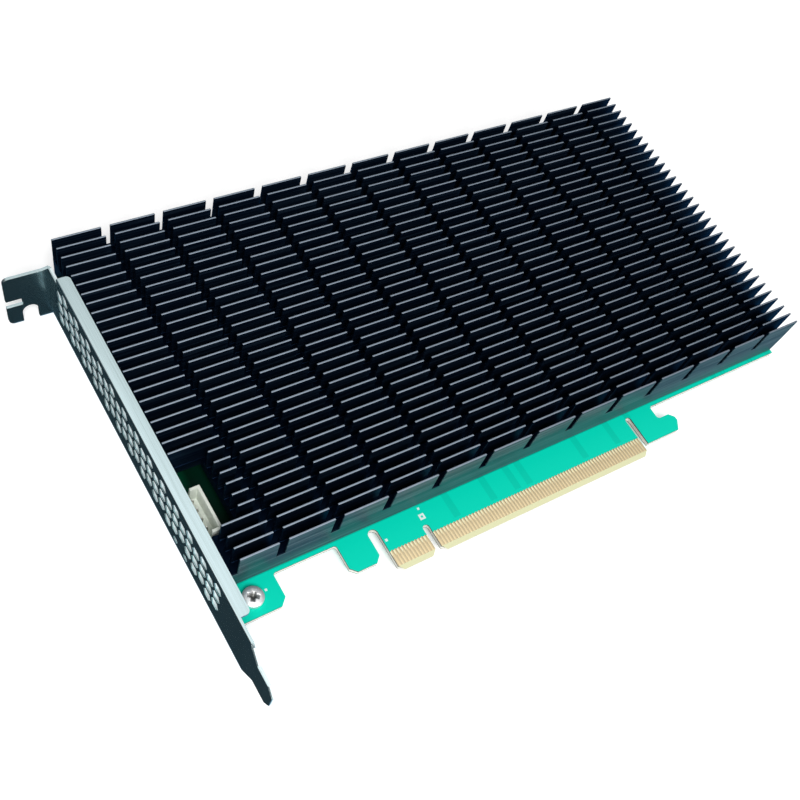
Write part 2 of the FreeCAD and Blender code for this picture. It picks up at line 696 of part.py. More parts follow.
def make_fan_pins():
    """Four square pins, soldered through the board."""
    side, tail, top = size("fan_pin"), size("fan_pin_tail"), size("fan_pin_top")
    x = size("fan_left") + 0.5 * size("fan_wide")
    first_y = size("fan_front") + 0.5 * size("fan_long") - 1.5 * size("fan_pin_pitch")
    group_of("fan_header_pins", [
        Part.makeBox(side, side, tail + top,
                     V(x - 0.5 * side, first_y + k * size("fan_pin_pitch") - 0.5 * side, -tail))
        for k in range(4)])


# ---------------------------------------------------------------- drive sockets and what they need


def make_socket(number):
    """Card-edge socket for one drive: an open slot towards +X over a stepped front lip."""
    centre = "Sizes.bay_y + %d * Sizes.bay_pitch" % (number - 1)
    body = new_body("m2_socket_%d" % number)
    side = new_sketch(body, "XZ", "SocketProfile", "0 - (%s) - 0.5 * Sizes.socket_wide" % centre)
    polygon(side, [(s(u), s(w)) for u, w in [
        ("socket_x", "0"), ("socket_x + socket_long", "0"),
        ("socket_x + socket_long", "socket_lip"), ("socket_x + socket_back", "socket_lip"),
        ("socket_x + socket_back", "socket_mouth"), ("socket_x + socket_roof", "socket_mouth"),
        ("socket_x + socket_roof", "socket_high"), ("socket_x + socket_bevel", "socket_high"),
        ("socket_x", "socket_high - socket_bevel")]])
    pad(body, side, "SocketPad", s("socket_wide"))
    relief = new_sketch(body, "XY", "SocketEnds", s("socket_high"))
    for side_sign in ("-", "+"):
        edge = "%s %s 0.5 * Sizes.socket_wide" % (centre, side_sign)
        inside = "-" if side_sign == "+" else "+"
        rectangle(relief, s("socket_x + socket_cheek_back"), "%s %s 1" % (edge, side_sign),
                  s("socket_x + socket_long + 1"), "%s %s Sizes.socket_cheek" % (edge, inside))
    pocket(body, relief, "EndRelief", s("socket_high - socket_lip"))
    return body


def make_standoffs():
    """Six-sided brass posts at the free ends of the drives, and their small screws."""
    high, bore = size("standoff_high"), size("standoff_bore")
    posts, screws = [], []
    for y in BAYS:
        post = prism(size("standoff_radius"), high, ROUND_ANGLES[::2]).cut(prism(bore, high)).Solids[0]
        post.translate(V(size("standoff_x"), y, 0))
        posts.append(post)
        screws.append(screw_solid(size("standoff_x"), y, high, size("drive_head"),
                                  size("drive_head_high"), bore, high, 1))
    group_of("m2_standoffs", posts)
    group_of("m2_screws", screws)


def make_thermal_pad(number):
    """Soft strip stuck to the heatsink over one drive."""
    strip = doc.addObject("Part::Box", "thermal_pad_%d" % number)
    strip.Label = "thermal_pad_%d" % number
    bind(strip, Length=s("pad_long"), Width=s("pad_wide"), Height=s("pad_thick"),
         Placement__Base__x=s("socket_x + socket_long + pad_gap"),
         Placement__Base__y=s("bay_y + %d * bay_pitch - 0.5 * pad_wide" % (number - 1)),
         Placement__Base__z=s("ceiling - pad_thick"))
    return strip


# ---------------------------------------------------------------- bridge chip and power parts


def plate_at(label, x, y, z, long, wide, high):
    """A square-cornered slab given by its middle and its lower face, all as expressions."""
    slab = doc.addObject("Part::Box", label)
    slab.Label = label
    bind(slab, Length=long, Width=wide, Height=high,
         Placement__Base__x="(%s) - 0.5 * (%s)" % (x, long),
         Placement__Base__y="(%s) - 0.5 * (%s)" % (y, wide), Placement__Base__z=z)
    return slab


def make_bridge_chip():
    x, y = s("chip_x"), s("chip_y")
    plate_at("bridge_chip", x, y, "0", s("chip_side"), s("chip_side"), s("chip_thick"))
    plate_at("bridge_chip_lid", x, y, s("chip_thick"), s("lid_side"), s("lid_side"), s("lid_thick"))
    plate_at("bridge_thermal_pad", x, y, s("chip_thick + lid_thick"), s("lid_side - 2"),
             s("lid_side - 2"), s("ceiling - chip_thick - lid_thick"))


def make_power_parts():
    """Three chokes and their regulator chips, in a row beside the bridge chip."""
    choke, chip = size("choke_side"), size("regulator_side")
    chokes, regulators = [], []
    for k in range(3):
        y = size("choke_front") + k * size("power_step")
        block = Part.makeBox(choke, choke, size("choke_high"), V(size("choke_left"), y, 0))
        upright = [e for e in block.Edges if abs(e.tangentAt(0).z) > 0.9]
        chokes.append(block.makeChamfer(size("choke_corner"), upright))
        regulators.append(Part.makeBox(chip, chip, size("regulator_high"), V(
            size("regulator_left"), y + 0.5 * (choke - chip), 0)))
    group_of("power_chokes", chokes)
    group_of("regulator_chips", regulators)


def make_status_lamps():
    """Two side-looking lamps under the board, behind the bracket's round windows."""
    deep, wide, high = size("led_deep"), size("led_wide"), size("led_high")
    under = -size("board_thick") - high
    group_of("status_lamps", [
        Part.makeBox(deep, wide, high,
                     V(size("board_left"), size("lamp_y") + k * size("lamp_step") - 0.5 * wide, under))
        for k in range(2)])


# ---------------------------------------------------------------- build, check and write

make_board()
make_contacts()
make_heatsink()
make_bracket()
make_screws()
make_fan_header()
make_fan_pins()
for bay in (1, 2, 3, 4):
    make_socket(bay)
    make_thermal_pad(bay)
make_standoffs()
make_bridge_chip()
make_power_parts()
make_status_lamps()
doc.recompute()

NODES = [
    "pcb", "edge_contacts_top", "edge_contacts_bottom", "heatsink", "heatsink_screws",
    "bracket", "bracket_screws", "fan_header_housing", "fan_header_pins",
    "m2_socket_1", "m2_socket_2", "m2_socket_3", "m2_socket_4", "m2_standoffs", "m2_screws",
    "thermal_pad_1", "thermal_pad_2", "thermal_pad_3", "thermal_pad_4",
    "bridge_chip", "bridge_chip_lid", "bridge_thermal_pad",
    "power_chokes", "regulator_chips", "status_lamps",
]

for thing in doc.Objects:
    if "Invalid" in thing.State or "Error" in thing.State:
        raise RuntimeError("%s is %s" % (thing.Name, thing.State))

os.makedirs("parts", exist_ok=True)
for label in NODES:
    shape = doc.getObjectsByLabel(label)[0].Shape
    if shape.isNull() or not shape.isValid():
        raise RuntimeError("%s has no sound shape" % label)
    shape.exportStep("parts/%s.step" % label)
    box = shape.BoundBox
    print("%-22s %6.0f mm3  x %7.2f..%7.2f  y %7.2f..%7.2f  z %6.2f..%6.2f" % (
        label, shape.Volume, box.XMin, box.XMax, box.YMin, box.YMax, box.ZMin, box.ZMax))
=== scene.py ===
# %% [markdown]
# # A drive adapter card under a black heatsink
#
# The card is a green circuit board with gold contacts along one edge, a folded steel bracket at
# one end and a sawn aluminium heatsink over nearly all of it. The solid model gives every piece
# its size and place. Here each piece gets the surface that a hand or an eye would notice: broken
# edges, streaks left by extrusion and rolling, solder, plating and print.

# %% Load the solid model
import math

import bmesh
import bpy
import numpy as np
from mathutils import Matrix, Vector


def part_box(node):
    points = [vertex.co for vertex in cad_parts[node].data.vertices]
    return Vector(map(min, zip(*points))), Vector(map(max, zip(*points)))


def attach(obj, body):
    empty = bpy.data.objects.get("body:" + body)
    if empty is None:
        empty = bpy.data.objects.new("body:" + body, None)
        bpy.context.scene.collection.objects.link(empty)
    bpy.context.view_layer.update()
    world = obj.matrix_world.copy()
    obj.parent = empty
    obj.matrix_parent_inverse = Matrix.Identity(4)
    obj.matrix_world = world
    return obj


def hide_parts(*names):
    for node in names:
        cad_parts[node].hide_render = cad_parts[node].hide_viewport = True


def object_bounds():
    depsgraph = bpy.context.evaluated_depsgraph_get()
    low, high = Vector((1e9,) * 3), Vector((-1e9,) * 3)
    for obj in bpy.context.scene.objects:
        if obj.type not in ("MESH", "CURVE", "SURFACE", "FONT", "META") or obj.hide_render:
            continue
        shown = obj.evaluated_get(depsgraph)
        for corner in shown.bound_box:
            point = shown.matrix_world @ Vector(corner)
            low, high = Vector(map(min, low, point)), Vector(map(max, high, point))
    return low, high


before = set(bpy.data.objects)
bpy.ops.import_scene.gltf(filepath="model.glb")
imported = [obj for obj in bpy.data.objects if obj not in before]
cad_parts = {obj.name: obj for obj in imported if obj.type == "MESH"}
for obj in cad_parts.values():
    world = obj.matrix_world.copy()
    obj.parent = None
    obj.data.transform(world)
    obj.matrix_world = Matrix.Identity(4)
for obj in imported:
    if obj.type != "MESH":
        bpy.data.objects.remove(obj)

MM = 0.001
cad_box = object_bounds()
print("pieces in the frame:", len(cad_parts))
print("box in mm:", [round((b - a) / MM, 2) for a, b in zip(*cad_box)])

# %% [markdown]
# ## Turning numbers into meshes
#
# Every new piece is a set of points worked out as whole arrays. A piece could be pushed into
# shape by hand instead, but numbers taken from the solid are right wherever the solid is right.
# Two helpers read a solid's corners and list the places where they lie. Two more make an object
# from points and faces, shade it smoothly up to a chosen angle and let it ride on the card.

# %% Mesh helpers
SHARP = 35.0  # degrees
MICRON = 6  # decimals of a metre


def corners_of(node):
    """The corners of a solid in the frame, as rows of x, y, z in metres."""
    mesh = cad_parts[node].data
    flat = np.empty(3 * len(mesh.vertices))
    mesh.vertices.foreach_get("co", flat)
    return flat.reshape(-1, 3)


def places_in(values):
    """The different places among many, in order, told apart to a micrometre."""
    return np.unique(np.round(values, MICRON))


def make_piece(name, points, faces, material, sharp=SHARP):
    """An object at the origin from points in metres and faces as lists of point numbers."""
    mesh = bpy.data.meshes.new(name)
    mesh.from_pydata(np.asarray(points, float).reshape(-1, 3), [], [list(f) for f in faces])
    return finish_piece(name, mesh, material, sharp)


def finish_piece(name, mesh, material, sharp=SHARP):
    """Shade a mesh smoothly up to an angle, link it and let it ride on the card."""
    mesh.validate()
    mesh.polygons.foreach_set("use_smooth", np.ones(len(mesh.polygons), bool))
    mesh.set_sharp_from_angle(angle=math.radians(sharp))
    mesh.materials.clear()
    mesh.materials.append(material)
    piece = bpy.data.objects.new(name, mesh)
    bpy.context.scene.collection.objects.link(piece)
    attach(piece, "root")
    print("%-22s %6d faces" % (name, len(mesh.polygons)))
    return piece


# %% [markdown]
# ## Materials are small graphs
#
# A finish could be a painted picture wrapped round a piece, but a picture blurs close up and
# shows its seams. A graph of nodes works the finish out from the place on the piece, at any
# distance. The first helpers add a node and wire its inputs in one call, do one sum, and give
# the place on the card and the way that a face looks.

# %% Adding nodes


def add(tree, kind, inputs=(), **settings):
    """Add a node; inputs are socket values or other nodes' outputs, in order or by name."""
    node = tree.nodes.new(kind)
    for key, value in settings.items():
        setattr(node, key, value)
    pairs = inputs.items() if isinstance(inputs, dict) else enumerate(inputs)
    for key, value in pairs:
        if isinstance(value, bpy.types.NodeSocket):
            tree.links.new(value, node.inputs[key])
        else:
            node.inputs[key].default_value = value
    return node


def calc(tree, operation, *values):
    """The output of a Math node."""
    return add(tree, "ShaderNodeMath", values, operation=operation).outputs[0]


def place_of(tree):
    """Object coordinates, in metres from the card's origin."""
    return add(tree, "ShaderNodeTexCoord").outputs["Object"]


def axes_of(tree, vector):
    """The X, Y and Z of a vector, as outputs by name."""
    return add(tree, "ShaderNodeSeparateXYZ", (vector,)).outputs


def facing(tree):
    """The X, Y and Z of the way a face looks, from its true normal."""
    return axes_of(tree, add(tree, "ShaderNodeNewGeometry").outputs["True Normal"])


# %% [markdown]
# ## Two effects that several finishes share
#
# Extruded and rolled metal carries fine lines in one direction. That is noise stretched along
# one axis, so one shader group serves the heatsink and the bracket, each with its own direction.
# The second group is grain, a soft mottling from a fifth of a millimetre to over a millimetre
# wide, which keeps a surface from looking like one flat colour. Each group is built once and
# placed in each material with its own values.

# %% Streaks and grain
STREAK_ROUGHNESS = 0.6
FINE_DETAIL, COARSE_DETAIL = 4.0, 2.0
COARSE_SHARE = 0.12


def new_group(name, inputs, outputs):
    """An empty shader group with named sockets, given as (name, kind) pairs."""
    group = bpy.data.node_groups.new(name, "ShaderNodeTree")
    for label, kind in inputs:
        group.interface.new_socket(label, in_out="INPUT", socket_type="NodeSocket" + kind)
    for label, kind in outputs:
        group.interface.new_socket(label, in_out="OUTPUT", socket_type="NodeSocket" + kind)
    start = group.nodes.new("NodeGroupInput")
    end = group.nodes.new("NodeGroupOutput")
    return group, start.outputs, end.inputs


def make_streaks():
    """Noise whose coordinates are scaled apart: long along one axis, fine across it."""
    group, given, result = new_group("streaks", [("Stretch", "Vector"), ("Detail", "Float")],
                                     [("Value", "Float")])
    scaled = add(group, "ShaderNodeVectorMath", (place_of(group), given["Stretch"]),
                 operation="MULTIPLY").outputs[0]
    noise = add(group, "ShaderNodeTexNoise",
                {"Vector": scaled, "Scale": 1.0, "Detail": given["Detail"],
                 "Roughness": STREAK_ROUGHNESS})
    group.links.new(noise.outputs["Fac"], result["Value"])
    return group


def make_grain():
    """The mean of two noises, one fine and one about eight times as coarse."""
    group, given, result = new_group("grain", [("Scale", "Float")], [("Value", "Float")])
    place = place_of(group)
    fine = add(group, "ShaderNodeTexNoise",
               {"Vector": place, "Scale": given["Scale"], "Detail": FINE_DETAIL})
    coarse_scale = calc(group, "MULTIPLY", given["Scale"], COARSE_SHARE)
    coarse = add(group, "ShaderNodeTexNoise",
                 {"Vector": place, "Scale": coarse_scale, "Detail": COARSE_DETAIL})
    total = calc(group, "ADD", fine.outputs["Fac"], coarse.outputs["Fac"])
    group.links.new(calc(group, "MULTIPLY", total, 0.5), result["Value"])
    return group


STREAKS = make_streaks()
GRAIN = make_grain()
print("shared effects:", [group.name for group in bpy.data.node_groups])

# %% [markdown]
# ## Colours, ramps and masks
#
# A finish is mostly this: a mask says where, and a colour or a number is blended by it. Each of
# these helpers is one or two nodes. The last ones feed the shader that every material ends in.

# %% Blending


def blend(tree, share, first, second):
    """A colour between two, by a share from 0 to 1."""
    colours = [c if isinstance(c, bpy.types.NodeSocket) else (*c, 1.0) for c in (first, second)]
    return add(tree, "ShaderNodeMix", {0: share, 6: colours[0], 7: colours[1]},
               data_type="RGBA").outputs[2]


def between(tree, share, first, second):
    """A number between two, by a share from 0 to 1."""
    return calc(tree, "MULTIPLY_ADD", share, second - first, first)


def remap(tree, value, low, high, first, second):
    """First at or below low, second at or above high and a straight ramp between."""
    return add(tree, "ShaderNodeMapRange", (value, low, high, first, second)).outputs[0]


def step_up(tree, value, low, high):
    """A ramp from 0 at low to 1 at high."""
    return remap(tree, value, low, high, 0.0, 1.0)


def all_of(tree, *masks):
    """The product of several masks: 1 where every one is 1."""
    total = masks[0]
    for mask in masks[1:]:
        total = calc(tree, "MULTIPLY", total, mask)
    return total


# %% Feeding the shader


def plain_material(name, colour, metallic=0.0, roughness=0.5, **shader):
    """A material with only its shader, whose sockets are set by name with _ for a space."""
    material = bpy.data.materials.new(name)
    material.use_nodes = True
    body = material.node_tree.nodes["Principled BSDF"]
    body.inputs["Base Color"].default_value = (*colour, 1.0)
    body.inputs["Metallic"].default_value = metallic
    body.inputs["Roughness"].default_value = roughness
    for socket, value in shader.items():
        body.inputs[socket.replace("_", " ")].default_value = value
    return material


def use(material, group, **values):
    """Place a group in a material with its inputs set by name, and give its one output."""
    node = material.node_tree.nodes.new("ShaderNodeGroup")
    node.node_tree = group
    for label, value in values.items():
        node.inputs[label].default_value = value
    return node.outputs["Value"]


def wire(material, socket, value):
    """Feed a socket of the material's Principled shader."""
    body = material.node_tree.nodes["Principled BSDF"]
    material.node_tree.links.new(value, body.inputs[socket])


def raise_relief(material, height, strength, depth):
    """Lean the normals as if the surface stood up by the height times the depth."""
    bump = add(material.node_tree, "ShaderNodeBump",
               {"Strength": strength, "Distance": depth, "Height": height})
    wire(material, "Normal", bump.outputs["Normal"])


def tell(material):
    """Print a finished material's name and how many nodes it took."""
    print("%-22s %6d nodes" % (material.name, len(material.node_tree.nodes)))
    return material


# %% [markdown]
# ## Black anodised aluminium
#
# Anodising leaves a hard black layer with a satin gloss. The extrusion's own lines show through it
# along the fins, most of all on the outermost face, which is painted paler and less metallic than
# the sides as a painted sheen, the reflection that face shows. The last cut takes the tops of the
# fins down to one height, and their narrow tops are painted much paler than their sides: partly the
# bare cut, partly a painted highlight. The floors of the channels are painted the deepest black, as
# painted shade between the fins.
#
# Four materials on four sets of faces could do this, but one material that finds its own places
# also serves a broken edge, where two of them meet. The tops are found by their height, the shaded
# floors by looking up, and the face with the painted sheen by where it stands.

# %% Heatsink finish
sink_low, sink_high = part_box("heatsink")
ANODISED, ANODISED_LINE = (0.005, 0.018, 0.048), (0.034, 0.064, 0.112)
ANODISED_TINT = (0.40, 0.62, 0.82, 1.0)
# Painted shade: the channel floors are painted the deepest black, where the fins shade them.
SHADED = (0.001, 0.004, 0.012)
# Painted sheen: the front face colours, with the low front metallic below, are paler than the sides
# and stand in for the reflection the outermost face shows.
FRONT_SHEEN, FRONT_SHEEN_LINE = (0.018, 0.050, 0.061), (0.100, 0.162, 0.182)
# The fin top colours are partly the bare cut and partly a painted highlight, the bright line that
# light draws along the tops.
FIN_TOP_CUT_AND_HIGHLIGHT, FIN_TOP_DULL_CUT_AND_HIGHLIGHT = (0.42, 0.50, 0.60), (0.30, 0.36, 0.43)
LINE_SPREAD = (25.0, 900.0, 2600.0)
LINES_SHOW = 0.45, 0.68
DULL_SHOWS = 0.25, 0.75
SIDE_METAL, FRONT_METAL = 0.91, 0.15
SATIN, SATIN_LINE, SATIN_GRAIN = 0.24, 0.54, 0.3

TOP_HEIGHTS = sink_high.z - 0.09 * MM, sink_high.z - 0.03 * MM
LOOKS_UP = 0.3, 0.9
FRONT_END = sink_low.y + 0.3 * MM


def make_anodised():
    """Colour by place: pale top (partly painted highlight) over painted shade on the floors over
    side, each side with its lines and the front with painted sheen; gloss by the lines.
    """
    material = plain_material("black_anodised", ANODISED, metallic=1.0, roughness=0.3,
                              Specular_Tint=ANODISED_TINT)
    tree = material.node_tree
    lines = use(material, STREAKS, Stretch=LINE_SPREAD, Detail=6.0)
    grain = use(material, GRAIN, Scale=5200.0)
    axes = axes_of(tree, place_of(tree))
    top = step_up(tree, axes["Z"], *TOP_HEIGHTS)
    channel_shade = step_up(tree, facing(tree)["Z"], *LOOKS_UP)
    front = calc(tree, "LESS_THAN", axes["Y"], FRONT_END)

    line = step_up(tree, lines, *LINES_SHOW)
    # The front face takes the painted sheen, the other sides the anodised colours.
    side = blend(tree, front, blend(tree, line, ANODISED, ANODISED_LINE),
                 blend(tree, line, FRONT_SHEEN, FRONT_SHEEN_LINE))
    # The channel floors, faces that look up below the tops, take the painted shade.
    side = blend(tree, channel_shade, side, SHADED)
    # The tops' pale colour is partly a painted highlight.
    cut = blend(tree, step_up(tree, grain, *DULL_SHOWS), FIN_TOP_CUT_AND_HIGHLIGHT, FIN_TOP_DULL_CUT_AND_HIGHLIGHT)
    wire(material, "Base Color", blend(tree, top, side, cut))
    wire(material, "Roughness", between(tree, lines, SATIN, SATIN_LINE))
    metal = between(tree, front, SIDE_METAL, FRONT_METAL)
    wire(material, "Metallic", calc(tree, "MAXIMUM", metal, top))
    relief = calc(tree, "MULTIPLY_ADD", grain, SATIN_GRAIN, lines)
    raise_relief(material, relief, strength=0.35, depth=0.02 * MM)
    return tell(material)


black_anodised = make_anodised()

# %% [markdown]
# ## The fins
#
# The real heatsink is one extrusion, sawn across into short blocks. Each fin stands on a small
# root radius, thins a little towards its top, and has its top corners just broken: that broken
# corner is the thin bright line that makes the field of fins readable from far off. The solid
# says where every fin starts and ends: its highest corners, sorted, are those places.
#
# A bevel over the whole solid could break the corners, but it would spend faces on every edge of
# hundreds of fins. Instead one profile is carried along each fin, and all the fins are worked out
# together as one array with four axes: which fin, which ring along it, which point of the
# profile, and x, y, z.

# %% Where each fin stands
SAME_PLACE = 0.01 * MM
LOWEST_FIN = 1.0 * MM

corners = corners_of("heatsink")
tops = np.round(corners[corners[:, 2] > sink_high.z - SAME_PLACE], MICRON + 1)
levels = places_in(corners[:, 2])
base_top = levels[levels < sink_high.z - LOWEST_FIN].max()


def fin_spans():
    """Rows of (first x, last x, front y, back y), one for each fin, from the top corners."""
    across = places_in(tops[:, 1]).reshape(-1, 2)
    spans = []
    for front, back in across:
        row = tops[np.abs(tops[:, 1] - front) < SAME_PLACE]
        ends = places_in(row[:, 0]).reshape(-1, 2)
        spans += [(a, b, front, back) for a, b in ends]
    return np.array(spans)


fins = fin_spans()
print("fins:", len(fins), " base top at", round(base_top / MM, 2), "mm")

# %% The fin profile
ROOT_HALF = 0.40 * MM
ROOT_RADIUS = 0.20 * MM
TOP_RADIUS = 0.10 * MM


def fin_side(half_tip, flare):
    """Points of one side of the profile, from the root outwards up to the top's middle.

    The root is a hollow quarter circle, the flank a straight line, the corner a quarter circle.
    A flare of 0 gives a plain foot, for the outermost fins' outer sides.
    """
    turn = np.radians([0.0, 45.0, 90.0])
    root = np.stack([ROOT_HALF + flare * (1 - np.sin(turn)),
                     base_top + flare * (1 - np.cos(turn))], -1)
    corner = np.stack([half_tip - TOP_RADIUS * (1 - np.cos(turn)),
                       sink_high.z - TOP_RADIUS * (1 - np.sin(turn))], -1)
    return np.concatenate([root, corner])


def fin_profiles(half_tip, middle):
    """The whole profile for each fin: two mirrored sides, plain where a fin is outermost."""
    side, plain = fin_side(half_tip, ROOT_RADIUS), fin_side(half_tip, 0.0)
    profile = np.concatenate([side, side[::-1] * (-1, 1)])
    shape = np.repeat(profile[None], len(middle), axis=0)
    first_row = middle < middle.min() + 10 * SAME_PLACE
    last_row = middle > middle.max() - 10 * SAME_PLACE
    shape[last_row, :len(side)] = plain
    shape[first_row, len(side):] = plain[::-1] * (-1, 1)
    return shape


print("points in the profile:", 2 * len(fin_side(ROOT_HALF, ROOT_RADIUS)))

# %% [markdown]
# Each fin is closed like a turned piece: rings of points joined by quads, with one many-sided
# face at each end. The same helpers close the contacts, screws, pins, solder and print later on.

# %% Faces between rings


def tube_faces(rings, around):
    """Quads between rings of points, numbered ring by ring, as an array."""
    ring, step = np.meshgrid(np.arange(rings - 1), np.arange(around), indexing="ij")
    after = (step + 1) % around
    return np.stack([ring * around + step, (ring + 1) * around + step,
                     (ring + 1) * around + after, ring * around + after], -1).reshape(-1, 4)


def turned_faces(rings, around):
    """Quads between rings, and one many-sided face to close each end."""
    skin = tube_faces(rings, around).tolist()
    first = np.arange(around).tolist()
    last = (np.arange(around)[::-1] + (rings - 1) * around).tolist()
    return skin + [first, last]


def repeat_faces(faces, points_each, copies):
    """The same faces for each of several copies, with the point numbers moved on."""
    return [[n + k * points_each for n in face] for k in range(copies) for face in faces]


# %% The field of fins
END_BREAK = 0.08 * MM
FIN_RINGS = 4


def fin_field():
    """Points and faces of all fins: four rings each, the outer two drawn in at the sawn ends.

    A drawn ring is the profile made smaller about its foot, by the same length at the root's
    side and at the top.
    """
    half_tip = 0.5 * (fins[:, 3] - fins[:, 2])
    middle = 0.5 * (fins[:, 3] + fins[:, 2])
    shape = fin_profiles(half_tip.mean(), middle)
    along = np.stack([fins[:, 0], fins[:, 0] + END_BREAK, fins[:, 1] - END_BREAK, fins[:, 1]], -1)
    drawn = np.array([1.0, 0.0, 0.0, 1.0]) * END_BREAK
    narrower = 1 - drawn[None, :, None] / ROOT_HALF
    lower = 1 - drawn[None, :, None] / (sink_high.z - base_top)
    points = np.empty((len(fins), FIN_RINGS, shape.shape[1], 3))
    points[..., 0] = along[:, :, None]
    points[..., 1] = middle[:, None, None] + shape[:, None, :, 0] * narrower
    points[..., 2] = base_top + (shape[:, None, :, 1] - base_top) * lower
    one_fin = turned_faces(FIN_RINGS, shape.shape[1])
    return points, repeat_faces(one_fin, FIN_RINGS * shape.shape[1], len(fins))


fin_points, fin_faces = fin_field()
fin_piece = make_piece("heatsink_fins", fin_points, fin_faces, black_anodised)

# %% [markdown]
# ## The plate that carries the fins
#
# The plate has the hollow, the header notch and the screw bosses that the solid has. Working all
# that out again would only copy the solid, so the plate is taken from it: a merged copy is cut
# level with the foot of the fins and closed on top. A solid's mesh is loose triangles. They are
# joined first, and each flat area becomes a single face.

# %% A merged copy of a solid
MERGE_WITHIN = 0.002 * MM
FLAT_WITHIN = 1.0  # degrees


def merged_mesh(node, name):
    """A copy of a solid's mesh with its triangles joined and its flat areas made single faces."""
    mesh = bpy.data.meshes.new(name)
    work = bmesh.new()
    work.from_mesh(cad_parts[node].data)
    bmesh.ops.remove_doubles(work, verts=work.verts, dist=MERGE_WITHIN)
    bmesh.ops.dissolve_limit(work, angle_limit=math.radians(FLAT_WITHIN), verts=work.verts[:],
                             edges=work.edges[:])
    work.to_mesh(mesh)
    work.free()
    return mesh


def make_sink_base():
    """The merged solid without its fins: cut a hair under their feet and closed with one face."""
    mesh = merged_mesh("heatsink", "heatsink_base")
    work = bmesh.new()
    work.from_mesh(mesh)
    everything = work.verts[:] + work.edges[:] + work.faces[:]
    bmesh.ops.bisect_plane(work, geom=everything, plane_co=(0, 0, base_top - MERGE_WITHIN),
                           plane_no=(0, 0, 1), clear_outer=True)
    rim = [edge for edge in work.edges if edge.is_boundary]
    bmesh.ops.contextual_create(work, geom=rim)
    bmesh.ops.recalc_face_normals(work, faces=work.faces[:])
    work.to_mesh(mesh)
    work.free()
    return finish_piece("heatsink_base", mesh, black_anodised)


# %% Heatsink plate
sink_base = make_sink_base()
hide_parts("heatsink")

# %% [markdown]
# ## The circuit board
#
# A board is fibreglass with copper tracks on it, under a coat of green solder resist. Where the
# coat lies on a copper track it is a little darker and stands a hair proud. On the near side under
# the heatsink, and so in the header notch, the coat is painted dark green as painted shade, nearly
# black away from the bracket, where the heatsink's walls shade it most. The tracks leave the
# contacts towards the middle of the card, in pairs or as wide ones. The far side carries plated
# holes, the vias, as small tinned dots.
#
# Tracks could be drawn one by one, but only their rhythm is noticed. So the length is divided
# into strips, and a random number for each strip says whether it holds a pair, a wide track or
# nothing. The vias are the middles of some cells of a loose grid.

# %% Where the copper lies
board_low, board_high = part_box("pcb")
contact_low, contact_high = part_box("edge_contacts_top")
header_low, header_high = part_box("fan_header_housing")
STRIP, STRIPS_BEFORE = 4.0 * MM, 100.0
PAIR_TRACKS = (0.15, 0.32), (0.48, 0.65)
WIDE_TRACK = 0.10, 0.62
PAIR_LOTS = 0.45, 0.70
TRACK_BAND = contact_high.y + 0.8 * MM, sink_low.y + 2 * MM
VIA_CELLS, VIA_SCATTER, VIA_RADIUS, VIA_LOTS = 0.24 / MM, 0.8, 0.085, 0.55
HALF_UP = 0.5


def inside(tree, value, low, high):
    """1 where a value lies between two limits and 0 elsewhere."""
    above = calc(tree, "GREATER_THAN", value, low)
    return all_of(tree, above, calc(tree, "LESS_THAN", value, high))


def track_mask(tree, axes):
    """Tracks between contacts and heatsink: a pair or a wide one in some of the strips."""
    strip = calc(tree, "MULTIPLY_ADD", axes["X"], 1 / STRIP, STRIPS_BEFORE)
    lot = add(tree, "ShaderNodeTexWhiteNoise", {"W": calc(tree, "FLOOR", strip)},
              noise_dimensions="1D").outputs["Value"]
    share = calc(tree, "FRACT", strip)
    pair = calc(tree, "ADD", *[inside(tree, share, *track) for track in PAIR_TRACKS])
    pair = all_of(tree, pair, inside(tree, lot, *PAIR_LOTS))
    wide = all_of(tree, inside(tree, share, *WIDE_TRACK),
                  calc(tree, "GREATER_THAN", lot, PAIR_LOTS[1]))
    band = all_of(tree, inside(tree, axes["Y"], *TRACK_BAND),
                  calc(tree, "GREATER_THAN", axes["X"], contact_low.x))
    return all_of(tree, calc(tree, "MAXIMUM", pair, wide), band)


def via_mask(tree, up):
    """Small round plated holes, one in some of the cells of a loose grid, on the far side."""
    cells = add(tree, "ShaderNodeTexVoronoi",
                {"Vector": place_of(tree), "Scale": VIA_CELLS, "Randomness": VIA_SCATTER},
                voronoi_dimensions="2D")
    dot = calc(tree, "LESS_THAN", cells.outputs["Distance"], VIA_RADIUS)
    lot = add(tree, "ShaderNodeSeparateColor", (cells.outputs["Color"],)).outputs[0]
    return all_of(tree, dot, calc(tree, "GREATER_THAN", lot, VIA_LOTS),
                  calc(tree, "LESS_THAN", up, -HALF_UP))


print("tracks lie between y =", [round(y / MM, 2) for y in TRACK_BAND], "mm")

# %% [markdown]
# The coat stops at the contacts. The bare laminate between them is yellow, palest just under the
# coat's edge, and so is the planed lead-in bevel. A cut edge shows the pale core between two dark
# skins. The board's own solid has the right shape, so all of this is colour, found by place.

# %% Board finish
RESIST, RESIST_ON_COPPER = (0.0, 0.67, 0.475), (0.0, 0.52, 0.37)
# Painted shade: the coat on the near side under the heatsink, seen in the header notch, is painted
# dark, nearly black where the heatsink shades it most.
RESIST_PAINTED_SHADE, RESIST_PAINTED_DEEP_SHADE = (0.0, 0.13, 0.055), (0.0, 0.016, 0.008)
BARE_LAMINATE, FRESH_LAMINATE = (0.63, 0.52, 0.33), (0.92, 0.86, 0.58)
BEVELLED_LAMINATE = (0.66, 0.66, 0.41)
CUT_EDGE, CUT_CORE = (0.09, 0.09, 0.07), (0.90, 0.88, 0.80)
TINNED = (0.55, 0.56, 0.50)
COAT_GLOSS, COAT_DULL, COAT_GRAIN = 0.3, 0.5, 0.15
TRACK_SHOWS = 0.55
UPRIGHT = 0.4

